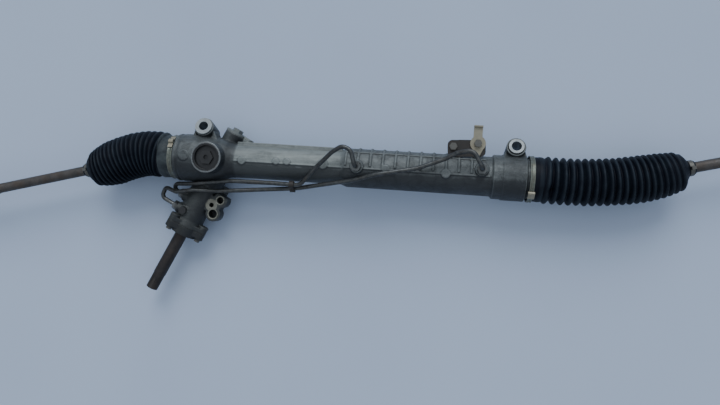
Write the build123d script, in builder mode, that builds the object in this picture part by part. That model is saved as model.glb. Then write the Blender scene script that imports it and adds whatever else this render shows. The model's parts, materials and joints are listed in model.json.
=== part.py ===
from build123d import *
import os
import math

os.makedirs("parts", exist_ok=True)

# ---------------------------------------------------------------------------
# Hydraulic power steering rack. Millimetres.
# Layout frame: X along the rack towards the far tie rod, Z up along the yoke
# axis, the pinion crosses the rack at (0, 0). The row origin is the centre of
# the pinion-side mounting bush, so every place goes through at().
# ---------------------------------------------------------------------------
MOUNT_X, MOUNT_Y = -20.0, 42.5      # pinion-side bush centre from the crossing
FAR_MOUNT_X, FAR_MOUNT_Y = 445.0, 39.0   # far bush centre
BUSH_TILT = 18.0                    # bush axes lean from +Z towards +Y

RACK_R = 13.0
BORE_R = 16.0                       # rack tunnel
TUBE_R = 25.9
CYL_R, CYL_BORE_R = 29.0, 21.0
CYL_X0, CYL_X1 = 198.0, 412.0
COLLAR_X0, COLLAR_X1, COLLAR_R = 428.0, 461.0, 33.4
END_BORE_R = 22.0                   # rooms the ball sockets run into
LEFT_END, RIGHT_END = -80.0, 483.0
SPIGOT_R = 29.3
YOKE_X = -3.0

PIN_Z = -17.0                       # pinion axis height
PIN_DX, PIN_DY = -0.4371, -0.8994   # pinion axis towards the shaft tip
HELIX = 26.0
MODULE_N, TEETH = 2.0, 8
PITCH_R = MODULE_N * TEETH / 2.0 / math.cos(math.radians(HELIX))
RACK_PITCH = math.pi * MODULE_N
PITCH_Z = PIN_Z + PITCH_R           # pitch line of the rack teeth
TOOTH_X0, TOOTH_N = -53.4, 29       # toothed length of the rack
VALVE_R = 22.0
SHAFT_R, SHAFT_TIP = 9.5, 232.0
SPLINE_R, SPLINE_LEN = 9.0, 26.0

BALL_L, BALL_R_X = -97.0, 573.0     # ball centres
ROD_ANGLE = 14.6                    # tie rods off the rack axis
ROD_LEN, ROD_R = 376.0, 7.6
THREAD_R, THREAD_LEN = 7.0, 60.0
BALL_RAD = 11.0
BOOT_END = 120.0                    # ball centre to the boot's small end

PISTON_X = 348.0
YOKE_R = 15.9
PIPE_R, PIPE_WALL = 3.2, 0.9

AX = Vector(PIN_DX, PIN_DY, 0).normalized()
BX = Vector(-AX.Y, AX.X, 0)         # to the port side of the valve body


def at(x, y=0.0, z=0.0):
    return (x - MOUNT_X, y - MOUNT_Y, z)


def across(x, y=0.0, z=0.0):
    """Plane square to the rack at x: local x is Y, local y is Z."""
    return Plane(origin=at(x, y, z), x_dir=(0, 1, 0), z_dir=(1, 0, 0))


def level(x, y, z):
    """Horizontal plane, normal up."""
    return Plane(origin=at(x, y, z), x_dir=(1, 0, 0), z_dir=(0, 0, 1))


def pin_point(s, b=0.0, z=0.0):
    v = AX * s + BX * b
    return at(v.X, v.Y, PIN_Z + z)


def pin(s, b=0.0, z=0.0):
    """Plane square to the pinion axis, s along it."""
    return Plane(origin=pin_point(s, b, z), x_dir=BX, z_dir=AX)


def pin_up(s, b, z):
    """Horizontal plane placed by pinion-axis coordinates."""
    return Plane(origin=pin_point(s, b, z), x_dir=BX, z_dir=(0, 0, 1))


def pin_out(s, b, z):
    """Plane facing away from the port side."""
    return Plane(origin=pin_point(s, b, z), x_dir=AX, z_dir=BX * -1)


def disc(plane, r, h, mode=Mode.ADD):
    with BuildSketch(plane) as sk:
        Circle(r)
    extrude(sk.sketch, amount=h, mode=mode)


def ring(plane, ro, ri, h, mode=Mode.ADD):
    with BuildSketch(plane) as sk:
        Circle(ro)
        Circle(ri, mode=Mode.SUBTRACT)
    extrude(sk.sketch, amount=h, mode=mode)


def hexa(plane, af, h, mode=Mode.ADD):
    with BuildSketch(plane) as sk:
        RegularPolygon(af / 2.0, 6, major_radius=False)
    extrude(sk.sketch, amount=h, mode=mode)


def spin(plane, pts, mode=Mode.ADD):
    """Revolve a profile of (along, radius) points about the plane's normal."""
    axis_plane = Plane(origin=plane.origin, x_dir=plane.z_dir, z_dir=plane.x_dir)
    with BuildSketch(axis_plane) as sk:
        with BuildLine():
            Polyline(*pts, close=True)
        make_face()
    revolve(sk.sketch, axis=Axis(plane.origin, plane.z_dir), mode=mode)


EARS = [(-25.4, -11.8), (22.9, -16.1)]                          # valve housing screws
LOBES = [(28.0, 3.0), (-15.0, 22.0), (-13.0, -23.0)]            # cover screws


def flange_web(s, h):
    """Straight edges between the three cover lobes."""
    for (b0, z0), (b1, z1) in zip(LOBES, LOBES[1:] + LOBES[:1]):
        with BuildSketch(pin(s)) as sk:
            with Locations(((b0 + b1) / 2.0, (z0 + z1) / 2.0)):
                Rectangle(math.hypot(b1 - b0, z1 - z0), 14.8, rotation=math.degrees(math.atan2(z1 - z0, b1 - b0)))
        extrude(sk.sketch, amount=h)


def ear(s, h, bb, zz):
    """Round ear with a web back to the pinion axis."""
    with BuildSketch(pin(s)) as sk:
        with Locations((bb, zz)):
            Circle(6.5)
        with Locations((bb * 0.62, zz * 0.62)):
            Rectangle(math.hypot(bb, zz) * 0.76, 11.0, rotation=math.degrees(math.atan2(zz, bb)))
    extrude(sk.sketch, amount=h)


BUSH_UP = Vector(0, math.sin(math.radians(BUSH_TILT)), math.cos(math.radians(BUSH_TILT)))


def bush(x, lift=0.0):
    """Plane square to a mounting bush, lift along its axis."""
    o = Vector(*at(x, MOUNT_Y if x < 0 else FAR_MOUNT_Y, 0)) + BUSH_UP * lift
    return Plane(origin=o, x_dir=(1, 0, 0), z_dir=BUSH_UP)


# --------------------------------------------------------------- rack housing
RIB_X = [202.0 + 18.2 * i for i in range(11)]
PADS = [(45.6, -0.5, 6.0), (98.0, 1.4, 5.0), (114.7, 1.7, 5.0), (168.7, 1.5, 7.2), (261.4, 0.3, 6.0), (347.8, -1.2, 6.6)]
PORT_AT = [(219.0, 1.0), (398.0, 8.0)]
PADS_AT = [(356.0, 39.2), (390.5, 45.2)]         # pipe bracket screws

with BuildPart() as rack_housing:
    # tunnel, pressure cylinder and both ends, one profile about the rack axis
    spin(across(0), [(LEFT_END, 0), (LEFT_END, SPIGOT_R - 1.0), (LEFT_END + 1.5, SPIGOT_R), (-60.5, SPIGOT_R),
                     (-60.5, 34.6), (-59.0, 36.0), (-56.0, 36.0), (-54.5, 34.8), (-50.2, 36.2), (-30.0, 36.5), (-5.0, 34.0),
                     (14.0, 29.5), (23.0, 26.8), (30.0, TUBE_R), (CYL_X0 - 4, TUBE_R), (CYL_X0 + 4, CYL_R),
                     (CYL_X1 + 1, CYL_R), (CYL_X1 + 3, 32.2), (COLLAR_X0 - 1, 32.2), (COLLAR_X0 + 1, COLLAR_R),
                     (COLLAR_X1, COLLAR_R), (COLLAR_X1, SPIGOT_R), (RIGHT_END - 1.5, SPIGOT_R), (RIGHT_END, SPIGOT_R - 1.0),
                     (RIGHT_END, 0)])
    # yoke tower
    disc(level(YOKE_X, 0, 0), 23.0, 45.0)
    # pinion tower, both sides of the rack
    disc(pin(-47), 16.8, 60)
    with BuildSketch(pin(-47.0)):
        with Locations((24.0, 1.0)):
            Circle(6.2)
        with Locations((14.0, 0.5)):
            Rectangle(20.0, 12.4)
    extrude(amount=12.0)
    disc(pin(0), 22.0, 46)
    # ears that take the valve housing
    for bb, zz in EARS:
        ear(36.0, 10.0, bb, zz)
    # mounting lugs and their webs
    for mx, left, right, my, lug in ((MOUNT_X, 17.0, 24.0, MOUNT_Y, 14.6), (FAR_MOUNT_X, 18.0, 21.0, FAR_MOUNT_Y, 13.9)):
        disc(bush(mx, -16.5), lug, 33.0)
        with BuildSketch(level(mx, 0, -13.0)):
            with BuildLine():
                Polyline((-left, 20), (right, 20), (lug - 0.6, my), (0.6 - lug, my), close=True)
            make_face()
        extrude(amount=24.0)
    # pads for the pipe bracket
    for bx, by in PADS_AT:
        with BuildSketch(level(bx, 0, 4.0)):
            with Locations((0, by - 0.0)):
                Circle(8.0)
            with Locations((0, (by + 14.0) / 2.0)):
                Rectangle(12.0, by - 14.0)
        extrude(amount=12.0)
    # hydraulic bosses on the cylinder
    for px, py in PORT_AT:
        disc(level(px, py, 10.0), 9.5, 21.5)
    # round pad left of the yoke tower
    disc(level(-41.0, 2.0, 20.0), 8.0, 17.2)
    # casting ribs over the upper half of the cylinder
    for rx in RIB_X:
        with BuildSketch(across(rx - 1.2)):
            Circle(CYL_R + 1.5)
            with Locations((-20.0 + 2.0, 0)):
                Rectangle(40.0, 90.0, mode=Mode.SUBTRACT)
        extrude(amount=2.4)
    # long ribs on the upper side, one on the tunnel and one on the cylinder
    with BuildSketch(level(0, 0, 3.0)) as sk:
        with Locations((113.5, 25.6)):
            Rectangle(161.0, 5.4)
    extrude(sk.sketch, amount=3.0)
    with BuildSketch(across(200.0)) as sk:
        with Locations((21.6, 19.4)):
            Rectangle(3.4, 1.8, rotation=42.0)
    extrude(sk.sketch, amount=204.0)
    # parting-line ridge and ejector pads
    with BuildSketch(level(0, -1.5, 18.0)):
        with Locations((116.0, 0)):
            Rectangle(166.0, 1.8)
    extrude(amount=8.7)
    with BuildSketch(level(0, -1.5, 24.0)):
        with Locations((305.0, 0)):
            Rectangle(210.0, 1.8)
    extrude(amount=5.9)
    for px, py, pr in PADS:
        disc(level(px, py, 15.0), pr, (TUBE_R if px < CYL_X0 else CYL_R) - 15.0 + 1.4)
    # rack tunnel, seal pocket, cylinder bore and the two end rooms
    disc(across(-60), BORE_R, 262, Mode.SUBTRACT)
    disc(across(200), 19.0, 14, Mode.SUBTRACT)
    disc(across(212), CYL_BORE_R, 200, Mode.SUBTRACT)
    disc(across(408), END_BORE_R, 90, Mode.SUBTRACT)
    disc(across(432.5), END_BORE_R + 1.3, 2.2, Mode.SUBTRACT)
    disc(across(LEFT_END - 1), END_BORE_R, 38, Mode.SUBTRACT)
    # yoke bore and plug thread
    disc(level(YOKE_X, 0, 0), BORE_R, 46, Mode.SUBTRACT)
    disc(level(YOKE_X, 0, 31), 17.0, 20, Mode.SUBTRACT)
    # scallop that clears the valve housing
    disc(pin(46.0), 22.6, 40, Mode.SUBTRACT)
    # pinion bores
    disc(pin(-30), 11.6, 56, Mode.SUBTRACT)
    disc(pin(-48), 14.0, 20, Mode.SUBTRACT)
    disc(pin(20), BORE_R, 30, Mode.SUBTRACT)
    for bb, zz in EARS:
        disc(pin(35.5, bb, zz), 2.6, 12, Mode.SUBTRACT)
    # bush bores and spot faces
    for mx in (MOUNT_X, FAR_MOUNT_X):
        disc(bush(mx, -24.0), 13.6, 7.4, Mode.SUBTRACT)
        disc(bush(mx, 16.6), 14.0, 12.0, Mode.SUBTRACT)
    for mx in (MOUNT_X, FAR_MOUNT_X):
        disc(bush(mx, -20), 11.5, 40, Mode.SUBTRACT)
    # bracket screw holes
    for bx, by in PADS_AT:
        disc(level(bx, by, 5.5), 3.0, 12, Mode.SUBTRACT)
    # pipe union holes and drillings
    for px, py in PORT_AT:
        disc(level(px, py, 23.0), 6.0, 10, Mode.SUBTRACT)
        disc(level(px, py, 15.0), 2.2, 10, Mode.SUBTRACT)

# one casting, kept as three solids that meet face to face
HEAD_END, FAR_END_X = 38.0, 421.0
with BuildPart() as rack_housing_head:
    add(rack_housing.part)
    with BuildSketch(across(-200.0)):
        Rectangle(500.0, 500.0)
    extrude(amount=200.0 + HEAD_END, mode=Mode.INTERSECT)
rack_housing_head.part.label = "rack_housing_head"
export_step(rack_housing_head.part, "parts/rack_housing_head.step")

with BuildPart() as rack_housing_barrel:
    add(rack_housing.part)
    with BuildSketch(across(HEAD_END)):
        Rectangle(500.0, 500.0)
    extrude(amount=FAR_END_X - HEAD_END, mode=Mode.INTERSECT)
rack_housing_barrel.part.label = "rack_housing_barrel"
export_step(rack_housing_barrel.part, "parts/rack_housing_barrel.step")

with BuildPart() as rack_housing_end:
    add(rack_housing.part)
    with BuildSketch(across(FAR_END_X)):
        Rectangle(500.0, 500.0)
    extrude(amount=200.0, mode=Mode.INTERSECT)
rack_housing_end.part.label = "rack_housing_end"
export_step(rack_housing_end.part, "parts/rack_housing_end.step")

# ---------------------------------------------------------------- yoke group
with BuildPart() as yoke:
    disc(level(YOKE_X, 0, 5.0), YOKE_R, 23.0)
    with BuildSketch(across(YOKE_X - 20)):
        Circle(RACK_R + 1.0)
    extrude(amount=40, mode=Mode.SUBTRACT)
    disc(level(YOKE_X, 0, 17.0), 8.2, 12, Mode.SUBTRACT)
    ring(level(YOKE_X, 0, 24.0), 17.0, 14.4, 2.4, Mode.SUBTRACT)
yoke.part.label = "yoke"
export_step(yoke.part, "parts/yoke.step")

with BuildPart() as yoke_liner:
    with BuildSketch(across(YOKE_X - 11)):
        Circle(RACK_R + 0.95)
        Circle(RACK_R + 0.06, mode=Mode.SUBTRACT)
        with Locations((0, -13.5)):
            Rectangle(60, 41, mode=Mode.SUBTRACT)
    extrude(amount=22)
yoke_liner.part.label = "yoke_liner"
export_step(yoke_liner.part, "parts/yoke_liner.step")

with BuildPart() as yoke_spring:
    with BuildLine() as coil:
        Helix(pitch=3.4, height=11.9, radius=6.2, center=at(YOKE_X, 0, 18.6))
    with BuildSketch(Plane(origin=coil.line @ 0, z_dir=coil.line % 0)):
        Circle(1.15)
    sweep(path=coil.line, is_frenet=True)
yoke_spring.part.label = "yoke_spring"
export_step(yoke_spring.part, "parts/yoke_spring.step")

with BuildPart() as yoke_plug:
    disc(level(YOKE_X, 0, 32.0), 16.95, 9.0)
    hexa(level(YOKE_X, 0, 41.0), 19.0, 3.2)
    ring(level(YOKE_X, 0, 35.0), 17.2, 15.0, 2.6, Mode.SUBTRACT)
    disc(level(YOKE_X, 0, 42.2), 3.4, 3.0, Mode.SUBTRACT)
yoke_plug.part.label = "yoke_plug"
export_step(yoke_plug.part, "parts/yoke_plug.step")

with BuildPart() as housing_o_rings:
    # on the yoke, on the yoke plug, under the valve housing, on the rack bush
    ring(level(YOKE_X, 0, 24.2), 15.95, 14.45, 2.0)
    ring(level(YOKE_X, 0, 35.2), 16.95, 15.05, 2.2)
    ring(pin(46.25), 20.1, 18.5, 1.5)
    ring(across(416.2), END_BORE_R - 0.02, 20.05, 2.6)
housing_o_rings.part.label = "housing_o_rings"
export_step(housing_o_rings.part, "parts/housing_o_rings.step")

# ------------------------------------------------------------------ rack bar
with BuildPart() as rack_bar:
    disc(across(BALL_L + 20), RACK_R, (BALL_R_X - 20) - (BALL_L + 20))
    # toothed flat, teeth square to the bar, facing down
    tip_z = PITCH_Z - 1.6
    root_z = PITCH_Z + 2.3
    tan_a = math.tan(math.radians(20.0))
    with BuildSketch(Plane(origin=at(TOOTH_X0 + TOOTH_N * RACK_PITCH / 2.0, 20, 0), x_dir=(1, 0, 0), z_dir=(0, -1, 0))):
        with Locations((0, tip_z - 5.0)):
            Rectangle(TOOTH_N * RACK_PITCH, 10.0)
    extrude(amount=40, mode=Mode.SUBTRACT)
    gaps = []
    for i in range(-8, TOOTH_N - 7):
        xc = i * RACK_PITCH
        if xc - 3.0 < TOOTH_X0 or xc + RACK_PITCH > TOOTH_X0 + TOOTH_N * RACK_PITCH:
            continue
        gaps.append(xc)
    with BuildSketch(Plane(origin=at(0, 20, 0), x_dir=(1, 0, 0), z_dir=(0, -1, 0))):
        for xc in gaps:
            wt = RACK_PITCH / 4.0 + (PITCH_Z - (tip_z - 0.5)) * tan_a
            wr = RACK_PITCH / 4.0 - (root_z - PITCH_Z) * tan_a
            with BuildLine():
                Polyline((xc - wt, tip_z - 0.5), (xc + wt, tip_z - 0.5), (xc + wr, root_z), (xc - wr, root_z), close=True)
            make_face()
    extrude(amount=40, mode=Mode.SUBTRACT)
    # sockets for the ball studs and snap-ring grooves at the piston
    disc(across(BALL_L + 19), 7.1, 24, Mode.SUBTRACT)
    disc(across(BALL_R_X - 43), 7.1, 24, Mode.SUBTRACT)
    ring(across(PISTON_X - 12.2), 14.0, 12.0, 2.0, Mode.SUBTRACT)
    ring(across(PISTON_X + 10.2), 14.0, 12.0, 2.0, Mode.SUBTRACT)
rack_bar.part.label = "rack_bar"
export_step(rack_bar.part, "parts/rack_bar.step")

with BuildPart() as piston:
    ring(across(PISTON_X - 10), CYL_BORE_R - 0.4, RACK_R + 0.02, 20)
    ring(across(PISTON_X - 2.0), CYL_BORE_R + 1, 18.2, 4.0, Mode.SUBTRACT)
    ring(across(PISTON_X + 5.0), RACK_R + 1.4, RACK_R - 1, 2.4, Mode.SUBTRACT)
piston.part.label = "piston"
export_step(piston.part, "parts/piston.step")

with BuildPart() as piston_ring:
    ring(across(PISTON_X - 1.9), CYL_BORE_R - 0.06, 18.6, 3.8)
piston_ring.part.label = "piston_ring"
export_step(piston_ring.part, "parts/piston_ring.step")

with BuildPart() as piston_snap_rings:
    for xx in (PISTON_X - 12.1, PISTON_X + 10.3):
        with BuildSketch(across(xx)):
            Circle(15.2)
            Circle(12.05, mode=Mode.SUBTRACT)
            with Locations((0, -14)):
                Rectangle(5, 8, mode=Mode.SUBTRACT)
        extrude(amount=1.8)
piston_snap_rings.part.label = "piston_snap_rings"
export_step(piston_snap_rings.part, "parts/piston_snap_rings.step")

# --------------------------------------------------- seals and outer rack bush
with BuildPart() as rack_inner_seal:
    ring(across(200.2), 18.95, RACK_R + 0.06, 11.0)
    ring(across(206.0), 17.0, 14.2, 6.0, Mode.SUBTRACT)
rack_inner_seal.part.label = "rack_inner_seal"
export_step(rack_inner_seal.part, "parts/rack_inner_seal.step")

with BuildPart() as rack_bush:
    ring(across(410), END_BORE_R - 0.05, RACK_R + 0.07, 22.3)
    ring(across(416), END_BORE_R + 0.6, 20.0, 3.0, Mode.SUBTRACT)
    ring(across(409), 18.5, RACK_R - 1, 9.0, Mode.SUBTRACT)
rack_bush.part.label = "rack_bush"
export_step(rack_bush.part, "parts/rack_bush.step")

with BuildPart() as rack_outer_seal:
    ring(across(410.3), 18.45, RACK_R + 0.06, 7.4)
    ring(across(409.5), 17.0, 14.4, 4.5, Mode.SUBTRACT)
rack_outer_seal.part.label = "rack_outer_seal"
export_step(rack_outer_seal.part, "parts/rack_outer_seal.step")

with BuildPart() as rack_bush_snap_ring:
    with BuildSketch(across(432.6)):
        Circle(END_BORE_R + 1.2)
        Circle(END_BORE_R - 2.4, mode=Mode.SUBTRACT)
        with Locations((0, -22)):
            Rectangle(9, 8, mode=Mode.SUBTRACT)
    extrude(amount=1.9)
rack_bush_snap_ring.part.label = "rack_bush_snap_ring"
export_step(rack_bush_snap_ring.part, "parts/rack_bush_snap_ring.step")

# --------------------------------------------------------------- pinion group
def pinion_outline(clear=0.10, tip=10.45, root=6.75, steps=22):
    """Half thickness angle of the pinion tooth at each radius, by rolling the
    basic rack round the pitch circle and keeping what it never reaches."""
    pt = RACK_PITCH / math.cos(math.radians(HELIX))
    tan_t = math.tan(math.radians(20.0)) / math.cos(math.radians(HELIX))
    out = []
    for k in range(steps + 1):
        r = root + (tip - root) * k / steps
        lo, hi = -0.2, math.pi / TEETH
        for _ in range(40):
            th = (lo + hi) / 2.0
            ok = True
            for j in range(-160, 161):
                phi = j * 0.008
                h = r * math.cos(th + phi) - PITCH_R
                if h > -1.65:
                    w = pt / 4.0 - h * tan_t - clear
                    if r * math.sin(th + phi) - PITCH_R * phi > w:
                        ok = False
                        break
            if ok:
                lo = th
            else:
                hi = th
        out.append((r, lo))
    return out


flank = [(r, t) for r, t in pinion_outline() if 0.02 < t < math.pi / TEETH * 0.96]
TWIST = -math.degrees(math.tan(math.radians(HELIX)) / PITCH_R)   # degrees per mm
GEAR_HALF = 17.0
START = math.radians(-TWIST * GEAR_HALF)                         # turn of the first section
ordered = []
for n in range(TEETH):
    c = math.pi / 2.0 + 2.0 * math.pi * n / TEETH + START
    for r, t in flank:
        ordered.append((r * math.cos(c - t), r * math.sin(c - t)))
    for r, t in reversed(flank):
        ordered.append((r * math.cos(c + t), r * math.sin(c + t)))
base_plane = pin(-GEAR_HALF)
gear_face = Face(Wire.make_polygon([base_plane.from_local_coords((x, y, 0)) for x, y in ordered], close=True))
gear_blank = Solid.extrude_linear_with_rotation(
    gear_face, Vector(*pin_point(-GEAR_HALF)), AX * (2 * GEAR_HALF), TWIST * 2 * GEAR_HALF)

with BuildPart() as pinion:
    add(gear_blank)
    disc(pin(-30), 6.6, 60)
    disc(pin(-44), 6.0, 15)
    disc(pin(GEAR_HALF), 10.0, 20)
    disc(pin(36), 14.5, 21.5)
    disc(pin(41.5), 10.1, 18, Mode.SUBTRACT)
    disc(pin(18.5), 4.55, 24, Mode.SUBTRACT)
    with BuildSketch(Plane(origin=pin_point(28.0, 0, -12), x_dir=BX, z_dir=(0, 0, 1))):
        Circle(1.52)
    extrude(amount=24, mode=Mode.SUBTRACT)
pinion.part.label = "pinion"
export_step(pinion.part, "parts/pinion.step")

with BuildPart() as torsion_pin_lower:
    disc(pin_up(28.0, 0, -9.6), 1.5, 19.2)
torsion_pin_lower.part.label = "torsion_pin_lower"
export_step(torsion_pin_lower.part, "parts/torsion_pin_lower.step")

with BuildPart() as torsion_bar:
    spin(pin(0), [(19.0, 0), (19.0, 4.5), (37.0, 4.5), (43.0, 3.4), (204.0, 3.4), (208.0, 4.4), (226.0, 4.4), (226.0, 0)])
    disc(pin_up(28.0, 0, -6), 1.55, 12, Mode.SUBTRACT)
    disc(pin_up(217.0, 0, -6), 1.55, 12, Mode.SUBTRACT)
torsion_bar.part.label = "torsion_bar"
export_step(torsion_bar.part, "parts/torsion_bar.step")

with BuildPart() as pinion_bearing_inner:
    ring(pin(-38), 8.4, 6.01, 8)
    with BuildSketch(Plane(origin=pin_point(-34.0), x_dir=AX, z_dir=BX)) as groove:
        with Locations((0, 9.6)):
            Circle(2.0)
    revolve(groove.sketch, axis=Axis(pin_point(-34.0), AX), mode=Mode.SUBTRACT)
    for k in range(8):
        an = 2 * math.pi * (k + 0.5) / 8.0
        with Locations(Location(Vector(*pin_point(-34.0, 9.6 * math.cos(an), 9.6 * math.sin(an))))):
            Sphere(1.85)
pinion_bearing_inner.part.label = "pinion_bearing_inner"
export_step(pinion_bearing_inner.part, "parts/pinion_bearing_inner.step")

with BuildPart() as pinion_bearing_outer:
    ring(pin(-38), 13.98, 10.7, 8)
    ball_plane = Plane(origin=pin_point(-34.0), x_dir=AX, z_dir=BX)
    with BuildSketch(ball_plane):
        with Locations((0, 9.6)):
            Circle(2.1)
    revolve(axis=Axis(pin_point(-34.0), AX), mode=Mode.SUBTRACT)
pinion_bearing_outer.part.label = "pinion_bearing_outer"
export_step(pinion_bearing_outer.part, "parts/pinion_bearing_outer.step")

with BuildPart() as pinion_lock_nut:
    hexa(pin(-43.8), 17.0, 5.4)
    disc(pin(-44), 6.02, 6, Mode.SUBTRACT)
pinion_lock_nut.part.label = "pinion_lock_nut"
export_step(pinion_lock_nut.part, "parts/pinion_lock_nut.step")

with BuildPart() as pinion_end_cap:
    disc(pin(-50.0), 16.8, 3.0)
    with BuildSketch(pin(-50.0)):
        with Locations((24.0, 1.0)):
            Circle(6.2)
        with Locations((14.0, 0.5)):
            Rectangle(20.0, 12.4)
    extrude(amount=3.0)
    ring(pin(-47.0), 13.95, 11.6, 1.8)
    hexa(pin(-55.0), 15.0, 5.2)
    disc(pin(-56.0), 3.2, 4.0, Mode.SUBTRACT)
pinion_end_cap.part.label = "pinion_end_cap"
export_step(pinion_end_cap.part, "parts/pinion_end_cap.step")

with BuildPart() as pinion_upper_bearing:
    ring(pin(21.0), 15.97, 10.06, 12)
pinion_upper_bearing.part.label = "pinion_upper_bearing"
export_step(pinion_upper_bearing.part, "parts/pinion_upper_bearing.step")

with BuildPart() as valve_sleeve:
    ring(pin(57.8), 16.6, 10.06, 40)
    for sg in (62.0, 70.0, 78.0, 86.0, 92.5):
        ring(pin(sg), 18, 15.4, 2.4, Mode.SUBTRACT)
    for sg in (66.9, 74.9, 82.9):
        disc(pin_up(sg, 0, -20), 1.6, 40, Mode.SUBTRACT)
        with BuildSketch(Plane(origin=pin_point(sg, -20, 0), x_dir=AX, z_dir=BX)):
            Circle(1.6)
        extrude(amount=40, mode=Mode.SUBTRACT)
valve_sleeve.part.label = "valve_sleeve"
export_step(valve_sleeve.part, "parts/valve_sleeve.step")

with BuildPart() as valve_sleeve_rings:
    for sg in (62.0, 70.0, 78.0, 86.0, 92.5):
        ring(pin(sg + 0.1), 16.94, 15.5, 2.2)
valve_sleeve_rings.part.label = "valve_sleeve_rings"
export_step(valve_sleeve_rings.part, "parts/valve_sleeve_rings.step")

# ---------------------------------------------------------------- input shaft
with BuildPart() as input_shaft:
    disc(pin(42.0), 10.0, 56)
    disc(pin(98.0), SHAFT_R, SHAFT_TIP - SPLINE_LEN - 98.0)
    disc(pin(150.0), SPLINE_R, SHAFT_TIP - 150.0)
    disc(pin(41.0), 4.6, 186.5, Mode.SUBTRACT)
    # valve edges
    with BuildSketch(pin(61.0)):
        with PolarLocations(10.0, 6):
            Rectangle(2.0, 3.2)
    extrude(amount=32, mode=Mode.SUBTRACT)
    # splined end with the pinch-bolt groove
    with BuildSketch(pin(SHAFT_TIP - SPLINE_LEN)):
        with PolarLocations(SPLINE_R, 20):
            Rectangle(1.4, 0.6)
    extrude(amount=30, mode=Mode.SUBTRACT)
    disc(pin_up(217.0, 0, -12), 1.52, 24, Mode.SUBTRACT)
input_shaft.part.label = "input_shaft"
export_step(input_shaft.part, "parts/input_shaft.step")

with BuildPart() as torsion_pin_upper:
    disc(pin_up(217.0, 0, -8.9), 1.5, 17.8)
torsion_pin_upper.part.label = "torsion_pin_upper"
export_step(torsion_pin_upper.part, "parts/torsion_pin_upper.step")

# -------------------------------------------------------------- valve housing
PORT_B = 33.0
PORTS = [(54.0, PORT_B, 5.0), (78.0, PORT_B, 6.4)]      # along, across, bore radius
FACE_Z = 14.0                                            # port face above the pinion axis
UNIONS = [76.0, 97.0]                                    # pipe unions along the axis
with BuildPart() as valve_housing:
    disc(pin(46.2), VALVE_R, 69.6)
    # flange ears
    for bb, zz in EARS:
        ear(46.2, 8.0, bb, zz)
    for bb, zz in LOBES:
        disc(pin(104.6, bb, zz), 7.4, 11.2)
    flange_web(108.8, 7.0)
    # skirt that widens towards the cover
    with BuildSketch(pin(104.5)):
        Circle(VALVE_R)
    with BuildSketch(pin(115.8)):
        Circle(25.0)
    loft()
    # port block: two round bosses joined by a slab with a tapped boss
    for s, b, r in PORTS:
        disc(pin_up(s, b, -5.0), 11.6, FACE_Z + 5.0)
    with BuildSketch(pin_up(66.0, PORT_B - 9.0, -5.0)):
        Rectangle(30.0, 26.0)
    extrude(amount=FACE_Z + 5.0)
    with BuildSketch(pin_up(66.0, PORT_B - 4.0, -5.0)):
        Rectangle(14.0, 22.0)
    extrude(amount=FACE_Z + 5.0)
    disc(pin_up(67.0, 24.4, -10.0), 8.0, FACE_Z + 10.0)
    with BuildSketch(pin_up(67.0, 18.0, -12.0)):
        Rectangle(14.0, 36.0)
    extrude(amount=10.0)
    # pipe union bosses on the other side
    for s in UNIONS:
        disc(pin_out(s, -6.0, 8.0), 9.0, 17.0)
    # plug boss
    disc(pin_up(95.0, -8.0, 5.0), 8.0, 17.5)
    # flat joint face, bore, seal room
    disc(pin(26.2), 70.0, 20.0, Mode.SUBTRACT)
    disc(pin(46.0), 17.0, 72, Mode.SUBTRACT)
    ring(pin(46.0), 20.2, 18.4, 1.8, Mode.SUBTRACT)
    for s, b, r in PORTS:
        disc(pin_up(s, b, -1.0), r, FACE_Z + 2.0, Mode.SUBTRACT)
        with BuildSketch(Plane(origin=pin_point(s, b, 2.0), x_dir=AX, z_dir=BX * -1)):
            Circle(2.4)
        extrude(amount=22, mode=Mode.SUBTRACT)
    disc(pin_up(67.0, 24.4, FACE_Z - 12.0), 3.4, 13.0, Mode.SUBTRACT)
    for s in UNIONS:
        disc(pin_out(s, -18.2, 8.0), 5.6, 9.0, Mode.SUBTRACT)
        disc(pin_out(s, -10.0, 8.0), 2.0, 10.0, Mode.SUBTRACT)
    for bb, zz in EARS:
        disc(pin(46.0, bb, zz), 2.7, 9.0, Mode.SUBTRACT)
    for bb, zz in LOBES:
        disc(pin(104.0, bb, zz), 2.55, 12.0, Mode.SUBTRACT)
    disc(pin_up(95.0, -8.0, 16.5), 5.0, 7.0, Mode.SUBTRACT)
valve_housing.part.label = "valve_housing"
export_step(valve_housing.part, "parts/valve_housing.step")

with BuildPart() as valve_housing_bolts:
    for bb, zz in EARS:
        disc(pin(36.5, bb, zz), 2.55, 17.95)
        hexa(pin(54.4, bb, zz), 8.0, 4.6)
valve_housing_bolts.part.label = "valve_housing_bolts"
export_step(valve_housing_bolts.part, "parts/valve_housing_bolts.step")

with BuildPart() as valve_cover:
    disc(pin(116.0), 24.5, 14.0)
    for bb, zz in LOBES:
        disc(pin(116.0, bb, zz), 7.4, 11.0)
    flange_web(116.0, 9.0)
    disc(pin(115.0), 9.8, 16.0, Mode.SUBTRACT)
    disc(pin(117.5), 15.0, 13.0, Mode.SUBTRACT)
    disc(pin(126.6), 15.8, 1.8, Mode.SUBTRACT)
    for bb, zz in LOBES:
        disc(pin(115.0, bb, zz), 2.7, 13.0, Mode.SUBTRACT)
        disc(pin(127.0, bb, zz), 5.0, 4.0, Mode.SUBTRACT)
valve_cover.part.label = "valve_cover"
export_step(valve_cover.part, "parts/valve_cover.step")

with BuildPart() as valve_cover_bolts:
    for bb, zz in LOBES:
        disc(pin(105.0, bb, zz), 2.5, 22.1)
        hexa(pin(127.1, bb, zz), 8.0, 4.2)
valve_cover_bolts.part.label = "valve_cover_bolts"
export_step(valve_cover_bolts.part, "parts/valve_cover_bolts.step")

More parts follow.
